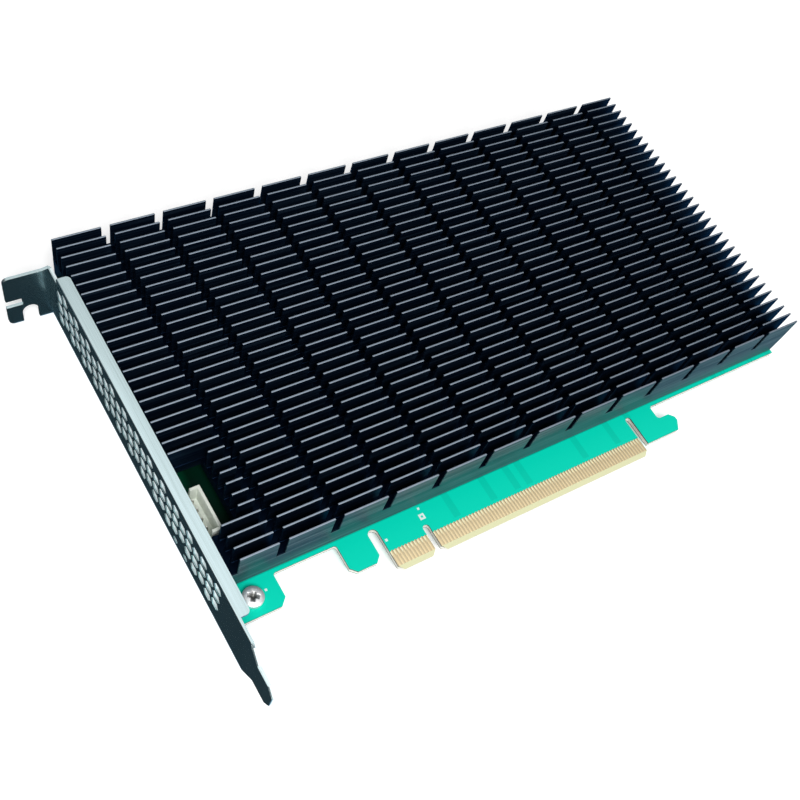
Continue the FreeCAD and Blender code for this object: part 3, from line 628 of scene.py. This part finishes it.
COAT_EDGE = contact_high.y - 0.25 * MM
BEVEL_EDGE = contact_low.y - 0.02 * MM
TAB = contact_low.x - 1 * MM, contact_high.x + 1 * MM
FRESH_FROM = COAT_EDGE - 1.6 * MM, COAT_EDGE - 0.8 * MM
# Where the painted shade in the notch begins along Y, and where it deepens along X.
SHADE_FROM_Y = sink_low.y - 0.4 * MM, sink_low.y + 0.4 * MM
DEEP_SHADE_FROM_X = header_low.x + 1.5 * MM, header_high.x + 0.5 * MM
CORE = board_low.z + 0.2 * MM, board_high.z - 0.35 * MM


def coat_colour(tree, axes, up, track):
    """Resist on laminate and on tracks, and on the near side under the heatsink a painted shade,
    darkest away from the bracket.
    """
    coat = blend(tree, calc(tree, "MULTIPLY", track, TRACK_SHOWS), RESIST, RESIST_ON_COPPER)
    # Near side under the heatsink: painted shade, darkening away from the bracket.
    shaded_area = all_of(tree, step_up(tree, axes["Y"], *SHADE_FROM_Y),
                   calc(tree, "GREATER_THAN", up, HALF_UP))
    shade_colour = blend(tree, step_up(tree, axes["X"], *DEEP_SHADE_FROM_X),
                     RESIST_PAINTED_SHADE, RESIST_PAINTED_DEEP_SHADE)
    return blend(tree, shaded_area, coat, shade_colour)


def face_colour(tree, axes, coat):
    """The coat, and along the tab the laminate below the coat's edge and the bevel below that."""
    on_tab = inside(tree, axes["X"], *TAB)
    bare = all_of(tree, on_tab, calc(tree, "LESS_THAN", axes["Y"], COAT_EDGE))
    bevel = all_of(tree, on_tab, calc(tree, "LESS_THAN", axes["Y"], BEVEL_EDGE))
    laminate = blend(tree, step_up(tree, axes["Y"], *FRESH_FROM), BARE_LAMINATE, FRESH_LAMINATE)
    return blend(tree, bevel, blend(tree, bare, coat, laminate), BEVELLED_LAMINATE)


def make_board_finish():
    """Faces and cut edges by the way they look; tracks and vias also stand up a little."""
    material = plain_material("green_resist", RESIST, roughness=0.4, Specular_IOR_Level=0.12)
    tree = material.node_tree
    axes, up = axes_of(tree, place_of(tree)), facing(tree)["Z"]
    track, via = track_mask(tree, axes), via_mask(tree, up)
    grain = use(material, GRAIN, Scale=700.0)

    coat = blend(tree, via, coat_colour(tree, axes, up, track), TINNED)
    wall = blend(tree, inside(tree, axes["Z"], *CORE), CUT_EDGE, CUT_CORE)
    upright = calc(tree, "LESS_THAN", calc(tree, "ABSOLUTE", up), UPRIGHT)
    wire(material, "Base Color", blend(tree, upright, face_colour(tree, axes, coat), wall))
    wire(material, "Roughness", between(tree, grain, COAT_GLOSS, COAT_DULL))
    relief = calc(tree, "ADD", calc(tree, "MULTIPLY_ADD", grain, COAT_GRAIN, track), via)
    raise_relief(material, relief, strength=0.4, depth=0.02 * MM)
    return tell(material)


green_resist = make_board_finish()

# %% [markdown]
# ## Plain metals and plastics of the smaller pieces
#
# Plated, moulded and printed surfaces are never one even colour: they vary by a shade, and their
# gloss with them. Each could have a graph of its own, but one maker serves them all. It takes
# two colours, how metallic and how rough the finish is, and how many grains go into a metre:
# few for a soft mottling, many for a fine one.

# %% Smaller finishes
SPECKLES = 0.3, 0.75
GLOSS_SPREAD = 0.1


def speckled(name, colour, darker, metallic, roughness, grains):
    """A finish whose colour and gloss vary softly with the shared grain."""
    material = plain_material(name, colour, metallic, roughness)
    tree = material.node_tree
    grain = use(material, GRAIN, Scale=grains)
    wire(material, "Base Color", blend(tree, step_up(tree, grain, *SPECKLES), colour, darker))
    wire(material, "Roughness",
         between(tree, grain, roughness - GLOSS_SPREAD, roughness + GLOSS_SPREAD))
    raise_relief(material, grain, strength=0.2, depth=0.01 * MM)
    return material


gold = speckled("gold", (0.98, 0.81, 0.50), (0.90, 0.72, 0.43), 1.0, 0.36, 2500.0)
ivory = speckled("ivory_plastic", (0.82, 0.87, 0.78), (0.64, 0.68, 0.61), 0.0, 0.45, 700.0)
tin = speckled("tin", (0.75, 0.74, 0.70), (0.55, 0.54, 0.50), 1.0, 0.35, 3000.0)
black_plastic = speckled("black_plastic", (0.02, 0.02, 0.02), (0.03, 0.03, 0.03), 0.0, 0.5, 2500.0)
post_brass = speckled("post_brass", (0.72, 0.60, 0.36), (0.6, 0.48, 0.26), 1.0, 0.3, 2500.0)
soft_pad = speckled("soft_pad", (0.30, 0.36, 0.42), (0.26, 0.31, 0.37), 0.0, 0.8, 1500.0)
chip_body = speckled("chip_body", (0.02, 0.09, 0.05), (0.015, 0.06, 0.035), 0.0, 0.4, 1500.0)
chip_lid = speckled("chip_lid", (0.55, 0.55, 0.56), (0.42, 0.42, 0.43), 1.0, 0.45, 1500.0)
choke_body = speckled("choke_body", (0.06, 0.06, 0.065), (0.04, 0.04, 0.045), 0.0, 0.6, 1500.0)
lamp_lens = speckled("lamp_lens", (0.75, 0.78, 0.70), (0.65, 0.68, 0.60), 0.0, 0.25, 1500.0)
for material in (gold, ivory, tin, black_plastic, post_brass, soft_pad, chip_body, chip_lid,
                 choke_body, lamp_lens):
    tell(material)

# %% [markdown]
# ## The bracket
#
# The bracket is punched and folded from zinc-plated sheet. Rolling leaves faint lines along its
# length. The walls of the vents are smooth for the first third of the thickness, where the punch
# sheared the sheet, and torn, matt and bare beyond it, so the torn part catches light from every
# side while the smooth sheet mirrors one place only. That is what makes the vents readable.
#
# The torn walls could be pieces of their own, but a mask by place does the same on one mesh. The
# two faces of the plate are the two places along X where most of the bracket's corners lie,
# because the vents' corners are there.

# %% Bracket finish
STEEL, STEEL_LINE = (0.70, 0.87, 0.90), (0.62, 0.78, 0.80)
PUNCHED = (0.80, 0.92, 0.94)
ROLLED_SPREAD = (2500.0, 40.0, 2500.0)
ROLLED_SHOWS = 0.35, 0.7
ROLLED_GLOSS, ROLLED_DULL = 0.14, 0.30
TORN_METAL, TORN_ROUGHER = 0.1, 0.4
SHEARED = 0.32 * MM
FACES_X = 0.9

bracket_low, bracket_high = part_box("bracket")
along_x = np.round(corners_of("bracket")[:, 0], MICRON)
places, corners_there = np.unique(along_x, return_counts=True)
plate_outer, plate_inner = np.sort(places[np.argsort(corners_there)[-2:]])
TORN = plate_outer + SHEARED, plate_inner + 0.02 * MM
FLANGE_UNDER = bracket_high.z - 1.0 * MM
EAR_UNDER = bracket_high.y - 1.2 * MM


def make_sheet_steel():
    """Rolled sheet, and torn metal where a wall goes through the plate, off flange and ear."""
    material = plain_material("sheet_steel", STEEL, metallic=1.0, roughness=0.25)
    tree = material.node_tree
    lines = use(material, STREAKS, Stretch=ROLLED_SPREAD, Detail=4.0)
    axes = axes_of(tree, place_of(tree))
    lean = calc(tree, "ABSOLUTE", facing(tree)["X"])
    punched = all_of(tree, calc(tree, "LESS_THAN", lean, FACES_X), inside(tree, axes["X"], *TORN),
                     calc(tree, "LESS_THAN", axes["Z"], FLANGE_UNDER),
                     calc(tree, "LESS_THAN", axes["Y"], EAR_UNDER))
    rolled = blend(tree, step_up(tree, lines, *ROLLED_SHOWS), STEEL, STEEL_LINE)
    wire(material, "Base Color", blend(tree, punched, rolled, PUNCHED))
    wire(material, "Metallic", between(tree, punched, 1.0, TORN_METAL))
    gloss = between(tree, lines, ROLLED_GLOSS, ROLLED_DULL)
    wire(material, "Roughness", calc(tree, "MULTIPLY_ADD", punched, TORN_ROUGHER, gloss))
    raise_relief(material, lines, strength=0.15, depth=0.01 * MM)
    return tell(material)


sheet_steel = make_sheet_steel()
print("plate between x =", round(plate_outer / MM, 2), "and", round(plate_inner / MM, 2), "mm")

# %% Bracket sheet
SHEET_EDGE = 0.12 * MM
BEVEL_STEPS = 2
BEVEL_ANGLE = 40.0  # degrees


def break_edges(piece, width):
    """A bevel modifier over the sharp corners of a piece."""
    bevel = piece.modifiers.new("broken_edges", "BEVEL")
    bevel.width = width
    bevel.segments = BEVEL_STEPS
    bevel.limit_method = "ANGLE"
    bevel.angle_limit = math.radians(BEVEL_ANGLE)
    bevel.use_clamp_overlap = True
    bevel.harden_normals = True


bracket_piece = finish_piece("bracket_sheet", merged_mesh("bracket", "bracket_sheet"), sheet_steel)
break_edges(bracket_piece, SHEET_EDGE)
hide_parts("bracket")

# %% [markdown]
# ## Gold contacts
#
# Each contact is a strip of plated copper a few hundredths of a millimetre thick, with a round
# end under the edge of the green coat. The solid has plain strips. A bevel on each would cost
# too many faces, since there are 82 on each side of the board, so one finger is three rings: an
# outline on the board, the same outline above it, and a slightly smaller one on top.

# %% Contacts
FINGER_BREAK = 0.05 * MM
FINGER_CORNER = 0.1 * MM
FINGER_SHOULDER = 0.6


def finger_outline(half, low, high):
    """Corners of one finger about x = 0: a quarter turn at each low corner, a half circle above."""
    small = FINGER_CORNER
    right = np.radians([-90.0, -45.0, 0.0])
    top = np.radians(np.linspace(0, 180, 7))
    left = np.radians([180.0, 225.0, 270.0])
    return np.concatenate([
        np.stack([half - small + small * np.cos(right), low + small + small * np.sin(right)], -1),
        np.stack([half * np.cos(top), high - half + half * np.sin(top)], -1)[1:-1],
        np.stack([small - half + small * np.cos(left), low + small + small * np.sin(left)], -1)])


def contact_field(node, up):
    """One row of fingers; their places are the solid's own edges along X."""
    low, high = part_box(node)
    edges = places_in(corners_of(node)[:, 0]).reshape(-1, 2)
    half = 0.5 * (edges[0, 1] - edges[0, 0])
    wide = finger_outline(half, low.y, high.y)
    slim = finger_outline(half - FINGER_BREAK, low.y + FINGER_BREAK, high.y - FINGER_BREAK)
    outer, inner = (high.z, low.z) if up else (low.z, high.z)
    shoulder = (1 - FINGER_SHOULDER) * inner + FINGER_SHOULDER * outer
    rings = [np.insert(ring, 2, z, axis=1)
             for ring, z in ((slim, outer), (wide, shoulder), (wide, inner))]
    finger = np.array(rings) if up else np.array(rings)[:, ::-1]
    points = np.repeat(finger[None], len(edges), axis=0)
    points[..., 0] += edges.mean(axis=1)[:, None, None]
    one_finger = turned_faces(len(rings), len(wide))
    return points, repeat_faces(one_finger, len(rings) * len(wide), len(edges))


for node, up in (("edge_contacts_top", True), ("edge_contacts_bottom", False)):
    row = make_piece("fingers_" + node.split("_")[-1], *contact_field(node, up), gold)
    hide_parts(node)

# %% [markdown]
# ## Screws
#
# All the screws have low domed heads with a cross recess. A recess could be cut by a boolean, but
# that leaves ragged faces round it. Here a head is a grid of rings and spokes: the height of the
# dome falls off with the fourth power of the radius, and two crossed troughs with sloping walls are
# taken from it. The depth of the recess is kept on the mesh as an attribute, and the finish gets
# darker with it as painted shade in the recess.

# %% Screw finish
# Painted shade: this colour darkens the screw heads where the recess is deep.
RECESS_SHADE = (0.10, 0.10, 0.095)
RECESS_SHADE_DEPTHS = 0.1, 0.7


def make_screw_finish():
    """Speckled steel, blended to a painted shade by the depth of the recess."""
    material = speckled("screw_steel", (0.92, 0.92, 0.92), (0.78, 0.78, 0.79), 0.75, 0.42, 2200.0)
    tree = material.node_tree
    clean = tree.nodes["Principled BSDF"].inputs["Base Color"].links[0].from_socket
    depth = add(tree, "ShaderNodeAttribute", attribute_name="recess").outputs["Fac"]
    # Painted shade in the recess, by its depth.
    shaded_recess = blend(tree, step_up(tree, depth, *RECESS_SHADE_DEPTHS), clean, RECESS_SHADE)
    wire(material, "Base Color", shaded_recess)
    return tell(material)


screw_steel = make_screw_finish()

# %% Screw shape
AROUND = 64
HEAD_STATIONS = np.array([0.02, 0.07, 0.13, 0.19, 0.25, 0.31, 0.37, 0.43, 0.48, 0.53, 0.58,
                          0.66, 0.76, 0.86, 0.94, 1.0])
RIM_HIGH, RIM_LOW, RIM_UNDER = 0.7, 0.08, 0.97
TIP_FROM, TIP_WIDE = 0.9, 0.75
ARM_HALF, ARM_LONG, ARM_SLOPE, ARM_DEEP = 0.15, 0.50, 0.07, 0.55
RECESS_RISE = 0.6


def cross_depth(u, v):
    """Depth of the recess, 0 to 1: two troughs along the axes, whose walls are straight ramps."""
    across = np.clip((ARM_HALF - np.abs(u)) / ARM_SLOPE + 1, 0, 1)
    along = np.clip((ARM_LONG - np.abs(v)) / ARM_SLOPE + 1, 0, 1)
    crossed = np.clip((ARM_HALF - np.abs(v)) / ARM_SLOPE + 1, 0, 1)
    ends = np.clip((ARM_LONG - np.abs(u)) / ARM_SLOPE + 1, 0, 1)
    fall = 1 - RECESS_RISE * np.clip(np.hypot(u, v) / ARM_LONG, 0, 1)
    return np.maximum(across * along, crossed * ends) * fall


def screw_rings(radius, head, shank, long, turn):
    """Rings from the middle of the head outwards, over the rim and down to the shank's tip."""
    angle = np.linspace(0, 2 * np.pi, AROUND, endpoint=False)
    dome = RIM_HIGH + (1 - RIM_HIGH) * (1 - HEAD_STATIONS ** 4)
    depth = cross_depth(HEAD_STATIONS[:, None] * np.cos(angle - turn),
                        HEAD_STATIONS[:, None] * np.sin(angle - turn))
    top_z = head * (dome[:, None] - ARM_DEEP * depth)
    lower = np.array([(radius, RIM_LOW * head), (RIM_UNDER * radius, 0.0), (shank, 0.0),
                      (shank, -TIP_FROM * long), (TIP_WIDE * shank, -long)])
    spokes = np.concatenate([HEAD_STATIONS * radius, lower[:, 0]])
    z = np.concatenate([top_z, np.repeat(lower[:, 1:], AROUND, axis=1)])
    rings = np.stack([spokes[:, None] * np.cos(angle), spokes[:, None] * np.sin(angle), z], -1)
    recess = np.concatenate([depth, np.zeros((len(lower), AROUND))])
    return rings, recess


print("rings and spokes of a screw head:", len(HEAD_STATIONS), AROUND)

# %% All the screws
SCREW_REACH = 6 * MM
BIG_SHANK, SMALL_SHANK = 1.5 * MM, 1.0 * MM
FIRST_TURN, NEXT_TURN = 0.95, 1.3
SCREW_SHARP = 50.0  # degrees


def boxes_of(node, reach):
    """Low and high corners of a node's separate solids, by gathering corners that lie close."""
    left = corners_of(node)
    found = []
    while len(left):
        close = np.hypot(*(left[:, :2] - left[0, :2]).T) < reach
        found.append((left[close].min(axis=0), left[close].max(axis=0)))
        left = left[~close]
    return found


def screw_set(node, name, seat, shank, up):
    """All screws of one node as one piece, each turned its own way; up is -1 for heads below."""
    points, recess = [], []
    for number, (low, high) in enumerate(boxes_of(node, SCREW_REACH)):
        radius = 0.5 * (high[0] - low[0])
        head = high[2] - seat if up > 0 else seat - low[2]
        long = (high[2] - low[2]) - head
        rings, depth = screw_rings(radius, head, shank, long, FIRST_TURN + NEXT_TURN * number)
        middle = (*(0.5 * (low + high))[:2], seat)
        points.append(rings * (1, up, up) + middle)
        recess.append(depth)
    rings_each = len(points[0])
    faces = repeat_faces(turned_faces(rings_each, AROUND), rings_each * AROUND, len(points))
    piece = make_piece(name, points, faces, screw_steel, sharp=SCREW_SHARP)
    layer = piece.data.attributes.new("recess", "FLOAT", "POINT")
    layer.data.foreach_set("value", np.ravel(recess).astype(np.float32))
    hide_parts(node)


post_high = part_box("m2_standoffs")[1].z
screw_set("bracket_screws", "board_fixings", board_high.z, BIG_SHANK, 1)
screw_set("heatsink_screws", "sink_fixings", board_low.z, BIG_SHANK, -1)
screw_set("m2_screws", "drive_fixings", post_high, SMALL_SHANK, 1)

# %% [markdown]
# ## The fan header
#
# The header is a small moulded box with four tinned pins through its floor. The box is a merged
# copy of the solid with its corners broken, since a mould never leaves a knife edge. Each pin is
# a square bar with a short taper at both ends. Below the board a cone of solder climbs the pin.
# The solid leaves the solder out, so it is a piece of its own, worked out as a hollow curve
# turned about each pin.

# %% Header housing
MOULD_EDGE = 0.07 * MM

housing = finish_piece("header_box", merged_mesh("fan_header_housing", "header_box"), ivory)
break_edges(housing, MOULD_EDGE)
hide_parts("fan_header_housing")

# %% Pins and solder
PIN_REACH = 1.5 * MM
PIN_TAPER, PIN_TIP = 0.45 * MM, 0.5
SOLDER_AROUND, SOLDER_RINGS = 20, 8
SOLDER_WIDE, SOLDER_SLIM, SOLDER_HIGH = 0.95 * MM, 0.36 * MM, 0.9 * MM

pin_boxes = boxes_of("fan_header_pins", PIN_REACH)
pin_middles = np.array([0.5 * (low + high) for low, high in pin_boxes])


def on_each_pin(rings):
    """One shape about the origin, moved to every pin, with its faces."""
    points = rings[None] + np.pad(pin_middles[:, :2], ((0, 0), (0, 1)))[:, None, None]
    count, around = rings.shape[:2]
    return points, repeat_faces(turned_faces(count, around), count * around, len(pin_middles))


def pin_rings():
    """Square rings from the top down: small, full, full, small."""
    low, high = pin_boxes[0]
    half = 0.5 * (high[0] - low[0])
    corner = np.array([(1, 1), (-1, 1), (-1, -1), (1, -1)])
    widths = np.array([PIN_TIP, 1.0, 1.0, PIN_TIP]) * half
    heights = np.array([high[2], high[2] - PIN_TAPER, low[2] + PIN_TAPER, low[2]])
    return np.concatenate([widths[:, None, None] * corner[None],
                           np.repeat(heights[:, None, None], 4, axis=1)], axis=2)


def solder_rings():
    """A hollow cone: the radius falls with the square of the height to just over the pin's."""
    climb = np.linspace(0, 1, SOLDER_RINGS)
    radius = SOLDER_SLIM + (SOLDER_WIDE - SOLDER_SLIM) * (1 - climb) ** 2
    angle = np.linspace(0, 2 * np.pi, SOLDER_AROUND, endpoint=False)
    z = np.repeat((board_low.z - SOLDER_HIGH * climb)[:, None], SOLDER_AROUND, axis=1)
    return np.stack([radius[:, None] * np.cos(angle), radius[:, None] * np.sin(angle), z], -1)


pins = make_piece("header_pins", *on_each_pin(pin_rings()), tin)
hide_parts("fan_header_pins")
solder = make_piece("header_solder", *on_each_pin(solder_rings()), tin)

# %% [markdown]
# ## Printed marks
#
# A board carries small marks in white ink. These are plain ones: a square ring by the key notch
# and a few dots. They could be a mask in the board's finish, but ink lies on top of the coat and
# has a thickness that catches light, so they are flat boxes two hundredths of a millimetre thick.

# %% Printed marks
INK_THICK = 0.02 * MM
RING_MIDDLE, RING_HALF, RING_LINE = (0.6, 10.4), 0.8, 0.5
DOTS = [(-11.3, 8.6, 0.35), (0.9, 12.7, 0.3), (-44.5, 9.6, 0.3)]
white_ink = tell(speckled("white_ink", (0.80, 0.90, 0.86), (0.70, 0.82, 0.78), 0.0, 0.6, 3000.0))


def mark_rectangles():
    """Rows of (x low, y low, x high, y high) in millimetres: the ring's four sides and the dots."""
    x, y = RING_MIDDLE
    outer, inner = RING_HALF, RING_HALF - RING_LINE
    sides = [(x - outer, y - outer, x + outer, y - inner),
             (x - outer, y + inner, x + outer, y + outer),
             (x - outer, y - inner, x - inner, y + inner),
             (x + inner, y - inner, x + outer, y + inner)]
    return np.array(sides + [(a - r, b - r, a + r, b + r) for a, b, r in DOTS])


def mark_field():
    """A box on each rectangle: its four corners at the ink's top, and again on the board."""
    rows = mark_rectangles() * MM
    corner = np.stack([rows[:, [0, 1]], rows[:, [2, 1]], rows[:, [2, 3]], rows[:, [0, 3]]], axis=1)
    points = np.empty((len(rows), 2, 4, 3))
    points[..., :2] = corner[:, None]
    points[:, 0, :, 2] = board_high.z + INK_THICK
    points[:, 1, :, 2] = board_high.z
    return points, repeat_faces(turned_faces(2, 4), 2 * 4, len(rows))


make_piece("print_marks", *mark_field(), white_ink)

# %% [markdown]
# ## Pieces that stay as modelled
#
# The board itself is right as the solid has it and only takes its finish. So do the sockets,
# pads, chips and chokes, which sit in the closed hollow under the heatsink. New meshes for them
# could be made too, but nobody would see the difference.

# %% Finishes of the pieces that stay
AS_MODELLED = {
    "pcb": green_resist, "m2_standoffs": post_brass, "bridge_chip": chip_body,
    "bridge_chip_lid": chip_lid, "bridge_thermal_pad": soft_pad, "power_chokes": choke_body,
    "regulator_chips": black_plastic, "status_lamps": lamp_lens,
}
for bay in range(1, 5):
    AS_MODELLED["m2_socket_%d" % bay] = black_plastic
    AS_MODELLED["thermal_pad_%d" % bay] = soft_pad
for node, material in AS_MODELLED.items():
    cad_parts[node].data.materials.clear()
    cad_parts[node].data.materials.append(material)
print("kept as modelled:", len(AS_MODELLED))

# %% [markdown]
# ## Floor and world
#
# The card lies on a plain pale floor under a white sky. More light would make the floor paler,
# but would wash out the card too. So the floor has a glow that only the camera sees, and it grows
# with distance until floor and sky are one. Bright metal mirrors what is round it: it gets a
# dark, bluish floor and a sky that is dim low down and white overhead, so the fins' tops shine
# and their sides stay black.

# %% Floor
FLOOR_SIZE = 8.0
FLOOR_DROP = 0.2 * MM
FLOOR_NEAR, FLOOR_FAR = 0.36, 0.66
FLOOR_REACH = 0.4, 3.0
FLOOR_COLOUR, FLOOR_MIRRORED = (0.85, 0.85, 0.85), (0.13, 0.25, 0.35)


def mirrored_in(tree, path):
    """1 for rays that a shiny or a clear surface sends on, by Light Path."""
    return calc(tree, "MAXIMUM", path["Is Glossy Ray"], path["Is Transmission Ray"])


def make_floor():
    """A square just under the card; its glow runs from near to far over the reach."""
    half, z = FLOOR_SIZE / 2, cad_box[0].z - FLOOR_DROP
    mesh = bpy.data.meshes.new("floor")
    mesh.from_pydata([(-half, -half, z), (half, -half, z), (half, half, z), (-half, half, z)],
                     [], [(0, 1, 2, 3)])
    material = plain_material("pale_floor", FLOOR_COLOUR, roughness=0.9,
                              Emission_Color=(1, 1, 1, 1))
    tree = material.node_tree
    path = add(tree, "ShaderNodeLightPath").outputs
    wire(material, "Base Color",
         blend(tree, mirrored_in(tree, path), FLOOR_COLOUR, FLOOR_MIRRORED))
    away = add(tree, "ShaderNodeVectorMath", (place_of(tree),), operation="LENGTH").outputs["Value"]
    glow = remap(tree, away, *FLOOR_REACH, FLOOR_NEAR, FLOOR_FAR)
    wire(material, "Emission Strength", calc(tree, "MULTIPLY", path["Is Camera Ray"], glow))
    mesh.materials.append(tell(material))
    floor = bpy.data.objects.new("floor", mesh)
    bpy.context.scene.collection.objects.link(floor)


make_floor()

# %% World
SKY_LIGHT = 0.42
SKY_LOW, SKY_HIGH = 0.17, 1.0
SKY_RISE = 0.52, 0.90


def make_world():
    """White for the camera, an even light for matt surfaces, a rising one for shiny surfaces."""
    world = bpy.data.worlds.new("studio")
    bpy.context.scene.world = world
    world.use_nodes = True
    tree = world.node_tree
    tree.nodes.clear()
    path = add(tree, "ShaderNodeLightPath").outputs
    way = add(tree, "ShaderNodeTexCoord").outputs["Generated"]
    overhead = remap(tree, axes_of(tree, way)["Z"], *SKY_RISE, SKY_LOW, SKY_HIGH)
    lit = calc(tree, "MULTIPLY_ADD", path["Is Diffuse Ray"], SKY_LIGHT, path["Is Camera Ray"])
    strength = calc(tree, "MULTIPLY_ADD", mirrored_in(tree, path), overhead, lit)
    back = add(tree, "ShaderNodeBackground", {"Color": (1, 1, 1, 1), "Strength": strength})
    out = add(tree, "ShaderNodeOutputWorld")
    tree.links.new(back.outputs[0], out.inputs[0])
    print("nodes in the world:", len(tree.nodes))


make_world()

# %% [markdown]
# ## Lamps
#
# Two large round lamps stand in for a studio's soft boxes. The key lamp is above the front left,
# and a weak one low at the front right lifts the contacts and the board's near edge. Small or
# strong lamps would draw hard shadows between the fins.

# %% Lamps
AIM = (0.03, 0.05, 0.0)
LAMP_SIZE = 0.5


def soft_lamp(name, place, power):
    """A round area lamp that looks at the middle of the card; its light leaves along -Z."""
    light = bpy.data.lights.new(name, "AREA")
    light.shape = "DISK"
    light.size = LAMP_SIZE
    light.energy = power
    lamp = bpy.data.objects.new(name, light)
    bpy.context.scene.collection.objects.link(lamp)
    lamp.location = place
    turn = (lamp.location - Vector(AIM)).to_track_quat("Z", "Y")
    lamp.rotation_euler = turn.to_euler()
    print("%-22s %6.1f W" % (name, power))


soft_lamp("key", (-0.25, -0.55, 0.80), 8.0)
soft_lamp("front", (0.35, -0.75, 0.35), 1.5)

# %% [markdown]
# ## A dark card beside the bracket
#
# The bracket's outer face mirrors the floor next to it, and a bright face would be lost against a
# bright floor. A darker steel would spoil the other faces, so a dark card lies there as a painted
# shade: it stands in for the floor's shade beside the bracket, which the outer face mirrors dark.
# It is seen only in reflections.

# %% Dark card
CARD_WIDE, CARD_HIGH, CARD_PAST = 160 * MM, 160 * MM, 120 * MM
CARD_GAP, CARD_LIFT = 0.02 * MM, 0.2 * MM
# Painted shade: the card's colour stands in for the floor's shade beside the bracket, seen only in
# reflections.
CARD_SHADE = (0.018, 0.032, 0.040)


def make_dark_card():
    """An L of two rectangles, one flat on the floor and one upright at its far side."""
    near = plate_outer - CARD_GAP
    far = near - CARD_WIDE
    front, back = bracket_low.y - CARD_PAST, bracket_high.y + CARD_PAST
    z = cad_box[0].z + CARD_LIFT
    points = [(near, front, z), (near, back, z), (far, back, z), (far, front, z),
              (far, back, z + CARD_HIGH), (far, front, z + CARD_HIGH)]
    mesh = bpy.data.meshes.new("dark_card")
    mesh.from_pydata(points, [], [(0, 1, 2, 3), (3, 2, 4, 5)])
    # The card's material is a painted shade for reflections only.
    mesh.materials.append(plain_material("card_painted_shade", CARD_SHADE, roughness=1.0,
                                         Specular_IOR_Level=0.0))
    card = bpy.data.objects.new("dark_card", mesh)
    bpy.context.scene.collection.objects.link(card)
    card.visible_camera = False
    card.visible_diffuse = False
    card.visible_shadow = False
    card.visible_transmission = False
    print("dark card from x =", round(far / MM, 1), "to", round(near / MM, 1), "mm")


make_dark_card()

# %% [markdown]
# ## Camera
#
# The camera looks down past the bracket's corner, so that the field of fins, the vents and the
# contacts all show. Its lens is shifted sideways and up, which brings the card to the middle of
# the picture. Turning the camera would do that too, but it would change the perspective.

# %% Camera
scene = bpy.context.scene
camera_data = bpy.data.cameras.new("camera")
camera_data.sensor_width = 36.0
camera_data.lens = 40.33
camera_data.shift_x = 0.0675
camera_data.shift_y = 0.1684
camera_data.clip_start = 0.01
camera_data.clip_end = 50.0
camera = bpy.data.objects.new("camera", camera_data)
scene.collection.objects.link(camera)
camera.location = (-0.10328, -0.04826, 0.19316)
camera.rotation_euler = [math.radians(a) for a in (25.859, -11.984, -30.027)]
scene.camera = camera

scene.view_settings.view_transform = "Standard"
print("camera at", [round(c / MM, 1) for c in camera.location], "mm")
